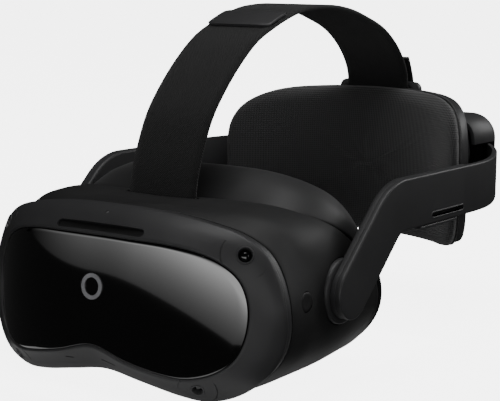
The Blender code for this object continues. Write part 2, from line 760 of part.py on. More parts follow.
def carrier_back(x, z):
    return carrier_front(x, z) + CARRIER_THICK + 2.0 * (x / PAD_HALF) ** 2


def cradle():
    pad = rounded_outline(PAD_HALF - 1.0, PAD_BOTTOM, PAD_TOP, (30, 16), 5)
    slab("rear_pad", dense(pad), pad_front, pad_back, "mesh_fabric", 1.6, (0.85, 0.6, 0.3))
    board = rounded_outline(PAD_HALF, PAD_BOTTOM + 1, carrier_top(), (29, 14), 5)
    carrier = slab("rear_carrier", dense(board), carrier_front, carrier_back, "soft_black", 0.9,
                   (0.85, 0.6, 0.3))
    front_y = PAD_REAR_Y + PAD_THICK + CARRIER_THICK + 3 * GAP
    neck = rounded_outline(HOUSING_HALF - 8, HOUSING_BOTTOM + 4, HOUSING_TOP - 6, (14, 14), 3)
    slab("rear_neck", neck, lambda x, z: front_y, lambda x, z: HOUSING_FRONT - GAP,
         "soft_black", 0.4, (0.6,))
    return carrier


def dense(outline):
    """The same outline with a point added in the middle of each long side."""
    made = []
    for index, point in enumerate(outline):
        after = outline[(index + 1) % len(outline)]
        made.append(point)
        length = (after - point).length
        parts = int(length // 14)
        made += [point.lerp(after, (k + 1) / (parts + 1)) for k in range(parts)]
    return made


def housing():
    outer = rounded_outline(HOUSING_HALF, HOUSING_BOTTOM, HOUSING_TOP, (16, 16), 5)
    depth = HOUSING_REAR - HOUSING_FRONT
    stages = [(0, 0), (0, depth - 12), (1.2, depth - 7), (4.2, depth - 2.4), (9, depth)]
    skin = [inset(outer, pull, HOUSING_FRONT + y) for pull, y in stages]
    wall = HOUSING_WALL
    stages = [(13, depth - wall), (6.6, depth - wall - 1.4), (wall + 0.9, depth - 8), (wall, depth - 12),
              (wall, 0)]
    inside = [inset(outer, pull, HOUSING_FRONT + y) for pull, y in stages]
    rings = skin + inside
    count = len(outer)
    points = [p for ring in rings for p in ring]
    faces = []
    for row in list(range(4)) + list(range(5, 9)):
        for index in range(count):
            after = (index + 1) % count
            faces.append((row * count + index, row * count + after,
                          (row + 1) * count + after, (row + 1) * count + index))
    for index in range(count):
        after = (index + 1) % count
        faces.append((9 * count + index, 9 * count + after, after, index))
    for row in (4, 5):
        centre = sum(rings[row], Vector()) / count
        points.append(centre)
        for index in range(count):
            faces.append((row * count + index, row * count + (index + 1) % count, len(points) - 1))
    made = add("rear_housing", points, faces, "soft_black", (0, HOUSING_REAR, middle_z()))
    level = PIVOT_Z + ARM_RISE
    for side, hand in ((1, "left"), (-1, "right")):
        low, high = ordered(side, HOUSING_HALF - BAND_TIP_IN - ARM_SHELL - 0.4, HOUSING_HALF + 6,
                            HOUSING_FRONT - 4, HOUSING_REAR - 6,
                            level - ARM_HEIGHT / 2 - 1.0, level + ARM_HEIGHT / 2 + 1.0)
        boolean(made, as_cutter(box("band_slot_" + hand, low, high, None, 0)))
    dial_hole = disc("dial_hole", (0, HOUSING_REAR, middle_z()), (0, 1, 0), 3.4, -12, 6, edge=0)
    boolean(made, as_cutter(dial_hole))
    half = HOUSING_HALF - BATTERY_SIDE + 0.6
    bottom = box("battery_mouth", (-half, HOUSING_FRONT - 4, HOUSING_BOTTOM - 6),
                 (half, HOUSING_FRONT + 22.6, HOUSING_BOTTOM + 6), None, 0)
    boolean(made, as_cutter(bottom))


def middle_z():
    return (HOUSING_TOP + HOUSING_BOTTOM) / 2


def battery():
    front = HOUSING_FRONT + 1.2
    low = HOUSING_BOTTOM + 0.2
    half = HOUSING_HALF - BATTERY_SIDE
    box("battery_pack", (-half, front, low), (half, front + 20.5, HOUSING_TOP - 6), "battery_black", 2.5)
    notch = box("latch_notch", (-8.4, front + 12, low - 6), (8.4, front + 30, low + 5.4), None, 0)
    boolean(bpy.data.objects["battery_pack"], as_cutter(notch))
    box("battery_latch", (-8, front + 12.4, low + 0.2), (8, front + 20.2, low + 4.4), "satin_black", 0.8)


def size_adjuster():
    """The dial on the back turns the pinion, and the pinion drives a rack to each arm."""
    z = middle_z()
    knurl = []
    for index in range(72):
        radius = DIAL_R - (0.7 if index % 2 else 0.0)
        angle = 2 * math.pi * index / 72
        knurl.append((radius * math.cos(angle), radius * math.sin(angle)))
    start = HOUSING_REAR + GAP + 0.2
    stages = ((start, 0.97), (start + 0.8, 1.0), (start + DIAL_THICK - 1.2, 1.0), (start + DIAL_THICK, 0.93))
    rings = [[Vector((x * share, y, z + h * share)) for x, h in knurl] for y, share in stages]
    loft("fit_dial", rings, "satin_black", "fan", (0, start, z))
    tooth = []
    for index in range(48):
        radius = PINION_R - 0.9 if index % 4 < 2 else PINION_R
        angle = 2 * math.pi * (index + 0.5) / 48
        tooth.append((radius * math.cos(angle), radius * math.sin(angle)))
    stem = [(3.0 * math.cos(2 * math.pi * k / 48), 3.0 * math.sin(2 * math.pi * k / 48)) for k in range(48)]
    rings = []
    for y, shape in ((-10.6, tooth), (-6.0, tooth), (-5.9, stem), (GAP - 0.1, stem)):
        rings.append([Vector((x, HOUSING_REAR + y, z + h)) for x, h in shape])
    loft("dial_pinion", rings, "steel", "fan", (0, HOUSING_REAR, z))
    for side, hand in ((1, "left"), (-1, "right")):
        reach = RACK_LENGTH / 2 + 6
        low_x, high_x = sorted((side * (reach - RACK_LENGTH), side * reach))
        near = PINION_R + GAP
        low_z, high_z = sorted((z + side * near, z + side * (near + 4.0)))
        box("rack_" + hand, (low_x, HOUSING_REAR - 10.4, low_z), (high_x, HOUSING_REAR - 6.4, high_z),
            "satin_black", 0.3)


def strap_bracket():
    """A flat loop standing on the carrier; the strap is folded round its upper bar."""
    base = carrier_top() + GAP
    outer = rounded_outline(STRAP_WIDTH / 2 + 7.2, base, BRACKET_TOP, (4.6, 2), 4)
    inner = rounded_outline(STRAP_WIDTH / 2 + 1.8, base + 1.8, BRACKET_TOP - 3.0, (1.2, 1.2), 4)
    front, back = BRACKET_Y, BRACKET_Y + 4.0
    rings = [[p + Vector((0, front, 0)) for p in outer], [p + Vector((0, back, 0)) for p in outer],
             [p + Vector((0, back, 0)) for p in inner], [p + Vector((0, front, 0)) for p in inner]]
    loft("strap_bracket", rings, "satin_black")


def carrier_top():
    return PAD_TOP - CARRIER_DROP


# Top strap

STRAP_FRONT = [(STRAP_START_Y, up(STRAP_START_Z)), (STRAP_START_Y + 0.2, up(47)), (57.8, up(58)),
               (61.8, 70), (69, 85.5), (78.3, 97.9), (93.7, 113.3), (112.3, 127), (134, 136)]
STRAP_REAR = [(135, 136.3), (152, 141.2), (170, 143.2), (189.5, 143.2), (210, 140.4),
              (228.7, 134.9), (245, 129), (258, 124), (270, 115.8), (277, 108), (281, 101.5),
              (BRACKET_Y + 3.2, BRACKET_TOP + 1.2)]


def strap():
    half = STRAP_WIDTH / 2
    for name, points in (("strap_front", STRAP_FRONT), ("strap_rear", STRAP_REAR)):
        line = [Vector((0, y, z)) for y, z in points]
        path = curve_through(line, 2, closed=False)
        rings = []
        for index, point in enumerate(path):
            along = (path[min(index + 1, len(path) - 1)] - path[max(index - 1, 0)]).normalized()
            out = Vector((0, -along.z, along.y))
            lower = point - out * STRAP_THICK
            rings.append([point + Vector((-half, 0, 0)), point + Vector((half, 0, 0)),
                          lower + Vector((half, 0, 0)), lower + Vector((-half, 0, 0))])
        loft(name, rings, "webbing", "fan")
    tab = [Vector((0, y, z)) for y, z in ((121, 132.6), (128, 135.6), (136, 138.6), (144, 141))]
    rings = []
    for index, point in enumerate(tab):
        along = (tab[min(index + 1, 3)] - tab[max(index - 1, 0)]).normalized()
        out = Vector((0, -along.z, along.y))
        side = half - 1.5 if index in (1, 2) else half - 5
        rings.append([point + Vector((sx * side, 0, 0)) + out * lift
                      for sx, lift in ((-1, 2.2), (1, 2.2), (1, 0.5), (-1, 0.5))])
    loft("strap_tab", rings, "satin_black", "fan")


def emblem():
    """A plain ring standing a hair proud of the window."""
    step = 0.5
    slope = (window_y(0, EMBLEM_Z + step) - window_y(0, EMBLEM_Z - step)) / (2 * step)
    out = Vector((0, -1, slope)).normalized()
    turned("front_emblem", Vector((0, window_y(0, EMBLEM_Z), EMBLEM_Z)) + out * 0.12, out,
           [(4.6, 0), (6.6, 0), (6.6, 0.5), (4.6, 0.5)], "emblem_grey", 28, ring=True)


def small_front_parts(bezel):
    spot = Vector((0, 12, up(43.5)))
    place, normal = surface_point(bezel, spot)
    disc("status_light", place, normal, 0.9, -2.0, 0.0, "led_white", 0.1, 12)
    boolean(bezel, as_cutter(disc("light_hole", place, normal, 1.2, -6, 4, edge=0, segments=12)))
    place, normal = surface_point(bezel, Vector((0, 5.7, up(36.3))))
    slot = stadium("grille_slot", place, normal, 2 * GRILLE_HALF, GRILLE_HEIGHT, 14)
    boolean(bezel, as_cutter(slot))
    stadium("vent_grille", place - normal * 1.8, normal, 2 * (GRILLE_HALF - GAP),
            GRILLE_HEIGHT - 2 * GAP, 0.8, "soft_black")


def centre_on_ground():
    """Moves everything so that the world origin is under the middle of the bounding box."""
    shown = [obj for obj in bpy.data.objects if not obj.hide_render]
    corners = [obj.location + v.co for obj in shown for v in obj.data.vertices]
    low = Vector(min(c[k] for c in corners) for k in range(3))
    high = Vector(max(c[k] for c in corners) for k in range(3))
    move = Vector((0, -(low.y + high.y) / 2, -low.z))
    for obj in bpy.data.objects:
        obj.location += move
    print("moved by", [round(value / MM, 4) for value in move])


def main():
    clear_scene()
    outline = window_outline()
    seam = whole(SEAM)
    front_window(outline)
    emblem()
    bezel = front_bezel(outline, seam)
    camera_set(bezel, [])
    small_front_parts(bezel)
    trim_ring(seam)
    shell = shell_housing(seam)
    strap_mount(shell)
    underside(shell)
    pivots(shell)
    side_controls(shell)
    optics()
    lens_plate()
    electronics()
    face_parts()
    arms()
    cradle()
    housing()
    battery()
    size_adjuster()
    strap_bracket()
    strap()
    centre_on_ground()


main()
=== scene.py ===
"""The looks of a head-worn display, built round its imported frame.

Shapes are drawn in millimetres in the maker's drawing frame, whose origin is the middle of the front
window, with +X at the wearer's left, the visor facing -Y and Z up. place() turns them into metres in
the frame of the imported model.
"""

import math

import bmesh
import bpy
import numpy as np
from mathutils import Matrix, Vector
from mathutils.bvhtree import BVHTree


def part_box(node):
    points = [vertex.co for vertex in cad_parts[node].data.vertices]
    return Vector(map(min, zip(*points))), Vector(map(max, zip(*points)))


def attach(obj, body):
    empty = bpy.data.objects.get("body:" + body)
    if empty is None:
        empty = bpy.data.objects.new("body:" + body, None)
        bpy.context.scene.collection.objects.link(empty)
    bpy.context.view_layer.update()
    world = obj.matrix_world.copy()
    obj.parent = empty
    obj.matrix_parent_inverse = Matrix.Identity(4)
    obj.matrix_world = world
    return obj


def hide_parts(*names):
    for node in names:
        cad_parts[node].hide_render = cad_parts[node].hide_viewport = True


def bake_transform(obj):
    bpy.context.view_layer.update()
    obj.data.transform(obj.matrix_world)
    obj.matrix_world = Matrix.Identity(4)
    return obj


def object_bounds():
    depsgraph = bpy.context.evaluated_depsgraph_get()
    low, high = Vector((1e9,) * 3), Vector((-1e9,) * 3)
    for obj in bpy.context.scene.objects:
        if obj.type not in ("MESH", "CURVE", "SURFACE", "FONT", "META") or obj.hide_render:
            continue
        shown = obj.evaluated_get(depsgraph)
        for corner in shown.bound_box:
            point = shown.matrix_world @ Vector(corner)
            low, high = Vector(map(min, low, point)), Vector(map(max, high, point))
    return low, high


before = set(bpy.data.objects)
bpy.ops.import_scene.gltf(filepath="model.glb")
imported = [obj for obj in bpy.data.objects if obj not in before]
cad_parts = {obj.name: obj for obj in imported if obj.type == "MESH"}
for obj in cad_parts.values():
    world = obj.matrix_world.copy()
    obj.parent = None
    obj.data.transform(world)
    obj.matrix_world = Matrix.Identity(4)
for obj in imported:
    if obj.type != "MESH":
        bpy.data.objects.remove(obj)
cad_box = [list(corner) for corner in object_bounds()]

MM = 0.001
WINDOW_FRONT = 1.0
HOUSING_TOP = 73.0
DATUM = Vector((0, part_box("front_window")[0].y + WINDOW_FRONT * MM,
                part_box("rear_housing")[1].z - HOUSING_TOP * MM))

# Visor
WALL = 2.6
WINDOW_THICK = 2.0
WINDOW_HALF = 81.0
WINDOW_CURVE = 21.0
WINDOW_LEAN = 5.0
WINDOW_LEAN_START = -20.0
WINDOW_TOP = 32.5
TRIM_WIDTH = 4.6
SEAM_GAP = 0.5
COVER_R = 11.7
CAMERA_LENS_R = 3.3
GRILLE_HALF = 28.0
GRILLE_HEIGHT = 4.6
POWER_BUTTON_R = 5.0

# Arms
ARM_SPREAD = 100.0
ARM_HEIGHT = 28.0
ARM_SHELL = 3.0
ARM_THICK = 7.0
ARM_RISE = 38.5
ARM_SLOPE = math.radians(42.5)
ARM_BEND_R = 27.0
ARM_STRAIGHT_END = 212.0
PIVOT_Y = 87.0
PIVOT_Z = 2.0
PIVOT_BASE_R = 17.0

# Cradle
PAD_HALF = 82.0
PAD_WRAP = 7.0
PAD_TOP = 89.5
PAD_R = 105.0
PAD_REAR_Y = 270.0
PAD_THICK = 9.0
CARRIER_THICK = 9.0
PAD_FOAM = 6.2
PAD_ROLL = 11.0
PAD_ROLL_HEIGHT = 8.5
PAD_CROWN = 2.2
HOUSING_HALF = 62.0
HOUSING_FRONT = 293.0
HOUSING_REAR = 330.0
HOUSING_BOTTOM = 9.0
HOUSING_WALL = 2.5

# Strap
STRAP_WIDTH = 43.5
STRAP_THICK = 2.4
STRAP_FRONT_Y = 55.6
BRACKET_TOP = 93.5
BRACKET_FRONT = 279.4
BRACKET_REAR = 283.4

# Set
SURROUND = 0.22
MIRRORED = 0.02
CARD_POWER = 0.2
SOFTBOX_POWER = 2.6
BACKDROP = 5.0
SOFTBOX_TOP = 17
# Offset from the middle of the headset in metres, size in metres, and power in watts.
LAMPS = {
    "key": ((0.2, -0.1, 1.6), 1.3, 17),
    "side": ((1.7, 0.1, 0.5), 0.9, 3),
    "rim": ((0.9, 1.7, 0.9), 0.9, 12),
}

# Half outlines from the top centre round the wearer's left to the bottom centre.
WINDOW = [
    (0, 32.5), (20.6, 32.3), (41.2, 31.6), (57.5, 28.9), (67.6, 24.6), (74.9, 18.6), (79.2, 10.5),
    (81, 0), (79.8, -12), (75.5, -22.2), (67, -29.3), (55, -32.6), (41.5, -31.7), (22, -28),
    (0, -22.6),
]
SEAM = [
    (0, 19.6, 46.8), (20, 20.2, 46.5), (40.1, 21.8, 44.8), (58.3, 23.7, 41.8), (72.2, 26.4, 37.8),
    (83.6, 30.3, 30), (90.9, 32.2, 17.9), (96, 31.5, 2), (95.5, 32, -14), (90, 29, -28),
    (78, 23.5, -39.5), (62, 20, -45.8), (46, 18, -45.6), (22, 14.5, -41), (0, 12.4, -37.6),
]
SHELL_MIDDLE = [
    (0, 42, 44.6), (20, 42, 45), (41, 42, 45.4), (61, 45, 44.6), (76, 50, 40.6), (86.5, 58, 32),
    (91, 66, 18), (92.4, 72, 2), (91.8, 74, -14), (87.5, 70, -27.5), (77.5, 62, -38.5),
    (64, 56, -44), (47, 52, -45), (23, 42, -42), (0, 36, -38.8),
]
SHELL_REAR = [
    (0, 63, 46.5), (20, 63, 46.8), (41, 64, 47), (60, 68, 46), (74, 78, 41.5), (84, 94, 33),
    (89, 110, 19), (91, 124, 2), (89.5, 129, -13), (84.5, 127, -26), (76, 120, -36),
    (66, 110, -41), (50, 94, -43), (25, 70, -41), (0, 60, -38.2),
]
CUSHION_REAR = [
    (0, 92, 60.5), (20, 93, 60.5), (41, 97, 59), (58, 104, 54.5), (70, 114, 46.5), (77, 124, 34),
    (80.5, 132, 18), (81.5, 137, 2), (79.5, 137, -13), (74.5, 133, -25), (66, 126, -33),
    (55, 117, -37), (40, 104, -37), (20, 90, -29), (0, 83, -19),
]
PAD_OUTLINE = [
    (0, 0, 90), (20, 0, 89.7), (38, 0, 89), (54, 0, 87.6), (66, 0, 84.4), (75, 0, 78), (80, 0, 69),
    (82, 0, 58), (82.2, 0, 42), (82, 0, 26), (80.4, 0, 11), (75, 0, 1.8), (64, 0, -1.9), (50, 0, -2.8),
    (36, 0, -3.0), (20, 0, -2.8), (0, 0, -2.5),
]
# The straps' outer faces in side view, and the band's plan where it bends behind the arm, as (x, y).
STRAP_FRONT = [
    (STRAP_FRONT_Y, 38.6), (55.8, 47), (57.8, 58), (61.8, 70), (69, 85.5), (78.3, 97.9), (93.7, 113.3),
    (112.3, 127), (134, 136),
]
STRAP_REAR = [
    (133, 135.7), (152, 141.2), (170, 143.2), (189.5, 143.2), (210, 140.4), (228.7, 135.3), (245, 129.6),
    (257, 122.9), (267, 114.8), (273.8, 106.6), (277.4, 99.8), (278.6, 94.5), (278.7, 91.5), (279.6, 89.9),
    (283.1, 89.9), (283.7, 91.5), (283.2, 95), (280.6, 101.6), (277.2, 108.2),
]
BAND_CURVE = [
    (99.8, 224), (98.8, 236), (96.2, 248), (92.2, 260), (87.2, 272), (80.2, 287), (72.4, 300.5),
    (65.2, 311), (59.8, 317.6),
]


# Materials

def linear(hex_colour):
    """An sRGB hex colour as linear RGBA."""
    parts = [int(hex_colour[k:k + 2], 16) / 255 for k in (1, 3, 5)]
    return (*[c / 12.92 if c <= 0.04045 else ((c + 0.055) / 1.055) ** 2.4 for c in parts], 1.0)


def node(tree, kind, links=None, **settings):
    """Adds a node. Settings are its properties or input names, and links go to input names."""
    made = tree.nodes.new(kind)
    for key, value in settings.items():
        if hasattr(made, key):
            setattr(made, key, value)
        else:
            made.inputs[key.replace("_", " ")].default_value = value
    for key, source in (links or {}).items():
        tree.links.new(source, made.inputs[key])
    return made


def finish(name, colour, roughness, **sockets):
    """A material with its Principled shader set, and the object's own coordinates in metres."""
    made = bpy.data.materials.new(name)
    made.use_nodes = True
    tree = made.node_tree
    shader = tree.nodes["Principled BSDF"]
    shader.inputs["Base Color"].default_value = linear(colour)
    shader.inputs["Roughness"].default_value = roughness
    for key, value in sockets.items():
        shader.inputs[key.replace("_", " ")].default_value = value
    where = node(tree, "ShaderNodeTexCoord").outputs["Object"]
    return made, tree, shader, where


def two_tone(tree, shader, source, low, high, start=0.0, end=1.0):
    """Colours the shader from low to high as the source goes from start to end."""
    ramp = node(tree, "ShaderNodeValToRGB", {"Fac": source})
    for stop, position, colour in zip(ramp.color_ramp.elements, (start, end), (low, high)):
        stop.position, stop.color = position, linear(colour)
    tree.links.new(ramp.outputs["Color"], shader.inputs["Base Color"])


def bumped(tree, shader, height, strength, depth_mm, **settings):
    """Turns a height into a bump of this depth on the shader."""
    bump = node(tree, "ShaderNodeBump", {"Height": height}, Strength=strength, Distance=depth_mm * MM,
                **settings)
    tree.links.new(bump.outputs["Normal"], shader.inputs["Normal"])


def uneven_gloss(tree, shader, where, size_mm, detail, low, high):
    """Varies the roughness softly between two values, in patches of this size."""
    cloud = node(tree, "ShaderNodeTexNoise", {"Vector": where}, Scale=1 / (size_mm * MM), Detail=detail)
    spread = node(tree, "ShaderNodeMapRange", {"Value": cloud.outputs["Fac"]})
    spread.inputs["To Min"].default_value = low
    spread.inputs["To Max"].default_value = high
    tree.links.new(spread.outputs["Result"], shader.inputs["Roughness"])


def tint(tree, shader, where, low, high, size_mm, detail=3.0):
    """Varies the base colour softly between two colours, in patches of this size."""
    cloud = node(tree, "ShaderNodeTexNoise", {"Vector": where}, Scale=1 / (size_mm * MM), Detail=detail)
    two_tone(tree, shader, cloud.outputs["Fac"], low, high, 0.3, 0.7)


def crossed_waves(tree, first, second, pitches_mm):
    """The product of two sine waves with these pitches, from 1 on the rows to -1 between them."""
    waves = []
    for source, pitch in zip((first, second), pitches_mm):
        scaled = node(tree, "ShaderNodeMath", {0: source}, operation="MULTIPLY")
        scaled.inputs[1].default_value = 2 * math.pi / (pitch * MM)
        waves.append(node(tree, "ShaderNodeMath", {0: scaled.outputs[0]}, operation="SINE").outputs[0])
    both = node(tree, "ShaderNodeMath", {0: waves[0], 1: waves[1]}, operation="MULTIPLY")
    return both.outputs[0]


def grain(tree, shader, where, size_mm, depth_mm, roughness, spread):
    """A moulded grain: a fine bump, and a roughness that varies a little in broad patches."""
    pits = node(tree, "ShaderNodeTexNoise", {"Vector": where}, Scale=1 / (size_mm * MM), Detail=2.0)
    bumped(tree, shader, pits.outputs["Fac"], 0.6, depth_mm)
    uneven_gloss(tree, shader, where, 18, 4.0, roughness - spread, roughness + spread)


def satin_moulded_pc():
    """Injection-moulded PC/ABS from a fine spark-eroded tool: satin, with broad soft highlights."""
    made, tree, shader, where = finish("satin_moulded_pc", "#2e2e2f", 0.46, IOR=1.46)
    tint(tree, shader, where, "#2c2c2d", "#303031", 22)
    grain(tree, shader, where, 0.45, 0.03, 0.46, 0.03)
    return made


def lip_pc():
    """The same moulding on rims, lips and small raised pieces: a little glossier, and coloured a little
    lighter.
    """
    made, tree, shader, where = finish("lighter_moulded_pc", "#353536", 0.36, IOR=1.5)
    grain(tree, shader, where, 0.45, 0.02, 0.4, 0.03)
    return made


def soft_touch_pc():
    """PC with a matt soft-touch coat: darker, with hardly any highlight."""
    made, tree, shader, where = finish("soft_touch_pc", "#171718", 0.56, IOR=1.45)
    tint(tree, shader, where, "#161617", "#191919", 26)
    grain(tree, shader, where, 0.5, 0.035, 0.58, 0.04)
    return made


def polished_window():
    """Tinted PMMA, vacuum-formed and hard-coated: black in depth with one clean mirror highlight."""
    made, tree, shader, where = finish("polished_pmma_window", "#010101", 0.07, IOR=1.7,
                                       Coat_Weight=1.0, Coat_Roughness=0.04, Coat_IOR=1.7)
    waves = node(tree, "ShaderNodeTexNoise", {"Vector": where}, Scale=1 / (60 * MM), Detail=1.0)
    bumped(tree, shader, waves.outputs["Fac"], 0.15, 0.3)
    uneven_gloss(tree, shader, where, 30, 5.0, 0.05, 0.1)
    return made


def coated_lens():
    """Optical glass with an anti-reflection coat: near black, and glossy."""
    made, tree, shader, where = finish("coated_optical_glass", "#050506", 0.08, IOR=1.5, Coat_Weight=0.5,
                                       Coat_Roughness=0.04)
    tint(tree, shader, where, "#040405", "#07080a", 4)
    return made


def printed_emblem():
    """Silver-grey ink under a clear coat."""
    made, tree, shader, where = finish("silver_grey_ink", "#8f8f92", 0.32, IOR=1.5, Metallic=0.25)
    tint(tree, shader, where, "#87878a", "#98989b", 6)
    return made


def synthetic_leather():
    """PU-coated foam skin: smooth, matt, with a very fine pebble and a soft sheen at its edges."""
    made, tree, shader, where = finish("pu_leather", "#0f0f10", 0.5, IOR=1.45, Sheen_Weight=0.1,
                                       Sheen_Roughness=0.5)
    tint(tree, shader, where, "#0e0e0f", "#111112", 30)
    cells = node(tree, "ShaderNodeTexVoronoi", {"Vector": where}, Scale=1 / (0.9 * MM))
    bumped(tree, shader, cells.outputs["Distance"], 0.25, 0.06)
    return made


def spacer_mesh():
    """Warp-knitted polyester spacer mesh: rows of small open holes on a diagonal, matt."""
    diagonal = 1.8 * math.sqrt(2)
    made, tree, shader, where = finish("spacer_mesh_knit", "#1b1b1c", 0.85, IOR=1.45, Sheen_Weight=0.2,
                                       Sheen_Roughness=0.6)
    parts = node(tree, "ShaderNodeSeparateXYZ", {"Vector": where}).outputs
    rising, falling = (node(tree, "ShaderNodeMath", {0: parts["X"], 1: parts["Z"]}, operation=kind)
                       for kind in ("ADD", "SUBTRACT"))
    knit = crossed_waves(tree, rising.outputs[0], falling.outputs[0], (diagonal, diagonal))
    two_tone(tree, shader, knit, "#262627", "#080808", 0.0, 0.6)
    bumped(tree, shader, knit, 0.6, 0.25, invert=True)
    return made


def knit_binding():
    """Fine-rib knitted elastic that binds the pad's edge and sides."""
    made, tree, shader, where = finish("rib_knit", "#1a1a1b", 0.8, IOR=1.45, Sheen_Weight=0.2)
    ribs = node(tree, "ShaderNodeTexWave", {"Vector": where}, Scale=1 / (3.2 * MM), Distortion=0.3,
                bands_direction="DIAGONAL")
    bumped(tree, shader, ribs.outputs["Fac"], 0.5, 0.15)
    tint(tree, shader, where, "#181819", "#1d1d1e", 9)
    return made


def woven_webbing():
    """Woven elastic webbing: 1.4 mm rows across the strap, crossed by finer warp ribs along it."""
    made, tree, shader, where = finish("woven_elastic", "#0e0e0f", 0.82, IOR=1.4, Sheen_Weight=0.1,
                                       Sheen_Roughness=0.5)
    uv = node(tree, "ShaderNodeUVMap", uv_map="weave")
    parts = node(tree, "ShaderNodeSeparateXYZ", {"Vector": uv.outputs["UV"]}).outputs
    weave = crossed_waves(tree, parts["X"], parts["Y"], (1.1, 1.4))
    fuzz = node(tree, "ShaderNodeTexNoise", {"Vector": where}, Scale=1 / (0.8 * MM), Detail=3.0)
    height = node(tree, "ShaderNodeMath", {0: weave, 1: fuzz.outputs["Fac"]}, operation="ADD")
    two_tone(tree, shader, weave, "#090909", "#131314")
    bumped(tree, shader, height.outputs[0], 0.7, 0.25)
    return made


def turned_steel():
    """Turned stainless steel pins and bars."""
    made, tree, shader, where = finish("turned_stainless_steel", "#b9b9b8", 0.3, Metallic=1.0)
    grain(tree, shader, where, 0.3, 0.005, 0.3, 0.05)
    return made


def extruded_aluminium():
    """Extruded and bead-blasted aluminium."""
    made, tree, shader, where = finish("extruded_aluminium", "#c9cacc", 0.38, Metallic=1.0)
    grain(tree, shader, where, 0.6, 0.01, 0.38, 0.05)
    return made


def circuit_board():
    """Glass-epoxy board under green solder mask, with darker copper areas."""
    made, tree, shader, where = finish("solder_mask_green", "#14482c", 0.4, IOR=1.5)
    tint(tree, shader, where, "#0f3a23", "#1a5837", 5, 1.0)
    return made


def diffuser():
    """Milky light diffuser, unlit."""
    made, tree, shader, where = finish("milky_diffuser", "#4a4a4a", 0.35, IOR=1.5)
    tint(tree, shader, where, "#464646", "#505050", 2)
    return made


def grille_with_painted_shade():
    """A black-painted perforated grille, 1 mm holes on a 1.6 mm pitch, darkened further with painted shade
    so that the vent slot reads as a deep recess.
    """
    made, tree, shader, where = finish("grille_painted_shade", "#151515", 0.5, IOR=1.5)
    cells = node(tree, "ShaderNodeTexVoronoi", {"Vector": where}, Scale=1 / (1.6 * MM), Randomness=0.0)
    # Painted shade: the plate and its holes are both held near black, darker than the grille's own colour.
    two_tone(tree, shader, cells.outputs["Distance"], "#010101", "#0c0c0c", 0.3, 0.42)
    return made


LOOKS = {
    "satin": (satin_moulded_pc(), "satin_black"), "lighter_satin": (lip_pc(), "satin_black"),
    "soft": (soft_touch_pc(), "soft_black"), "window": (polished_window(), "gloss_black"),
    "lens": (coated_lens(), "lens_glass"), "emblem": (printed_emblem(), "emblem_grey"),
    "leather": (synthetic_leather(), "leatherette"), "mesh": (spacer_mesh(), "mesh_fabric"),
    "binding": (knit_binding(), "mesh_fabric"), "webbing": (woven_webbing(), "webbing"),
    "steel": (turned_steel(), "steel"), "aluminium": (extruded_aluminium(), "aluminium"),
    "board": (circuit_board(), "board_green"), "diffuser": (diffuser(), "led_white"),
    "grille": (grille_with_painted_shade(), "soft_black"),
}


# Mesh helpers

def place(point):
    return Vector(point) * MM + DATUM


def node_box(name):
    """The low and high corners of a CAD node in the drawing frame."""
    return [(corner - DATUM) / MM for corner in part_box(name)]


def solid(name, points, faces, look, body, replaces=(), crease=35.0):
    """A closed mesh from drawing-frame points, with its finish, its body and what it stands for."""
    mesh = bpy.data.meshes.new(name)
    mesh.from_pydata([place(p) for p in points], [], faces)
    work = bmesh.new()
    work.from_mesh(mesh)
    bmesh.ops.recalc_face_normals(work, faces=work.faces)
    work.to_mesh(mesh)
    work.free()
    obj = bpy.data.objects.new(name, mesh)
    bpy.context.scene.collection.objects.link(obj)
    shade(obj, crease)
    dress(obj, look)
    if body:
        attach(obj, body)
    if replaces:
        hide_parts(*replaces)
    return obj


def shade(obj, crease=35.0):
    obj.data.shade_smooth()
    obj.data.set_sharp_from_angle(angle=math.radians(crease))


def dress(obj, look):
    surface, slot = LOOKS[look]
    obj.data.materials.clear()
    obj.data.materials.append(surface)


def curve_through(points, steps, closed):
    """A Catmull-Rom curve through the points, with this many steps in each span."""
    points = [Vector(p) for p in points]
    count = len(points)
    made = []
    for index in range(count if closed else count - 1):
        if closed:
            a, b, c, d = (points[(index + k) % count] for k in (-1, 0, 1, 2))
        else:
            a, b, c, d = (points[min(max(index + k, 0), count - 1)] for k in (-1, 0, 1, 2))
        for step in range(steps):
            t = step / steps
            made.append(0.5 * ((2 * b) + (c - a) * t + (2 * a - 5 * b + 4 * c - d) * t * t
                               + (3 * b - a - 3 * c + d) * t * t * t))
    if not closed:
        made.append(points[-1])
    return made


def whole(half, steps=8):
    mirrored = [(-p[0], p[1], p[2]) for p in reversed(half[1:-1])]
    return curve_through(list(half) + mirrored, steps, closed=True)


def inset(ring, amount, shift=0.0):
    """The ring moved inward in the XZ plane by amount, outward if negative, and shifted in Y."""
    count = len(ring)
    sense = math.copysign(1, sum(p.x * q.z - q.x * p.z for p, q in zip(ring, ring[1:] + ring[:1])))
    made = []
    for index in range(count):
        along = ring[(index + 1) % count] - ring[index - 1]
        inward = Vector((-along.z * sense, 0, along.x * sense)).normalized()
        made.append(ring[index] + inward * amount + Vector((0, shift, 0)))
    return made


def mix(first, second, share, bulge=0.0):
    return inset([a.lerp(b, share) for a, b in zip(first, second)], -bulge)


def between_rings(rings, steps):
    """Rings interpolated smoothly, so that a coarse stack of outlines becomes a curved surface."""
    columns = [curve_through(column, steps, closed=False) for column in zip(*rings)]
    return [list(row) for row in zip(*columns)]


def loft(name, rings, look, body, ends="loop", replaces=(), crease=35.0):
    """A closed body through rings: ends is loop for a tube that closes on itself, or cap."""
    count = len(rings[0])
    points = [p for ring in rings for p in ring]
    faces = []
    for row in range(len(rings) if ends == "loop" else len(rings) - 1):
        low, high = row * count, ((row + 1) % len(rings)) * count
        for index in range(count):
            after = (index + 1) % count
            faces.append((low + index, low + after, high + after, high + index))
    if ends == "cap":
        faces += [tuple(range(count)), tuple(range(len(points) - count, len(points)))]
    return solid(name, points, faces, look, body, replaces, crease)


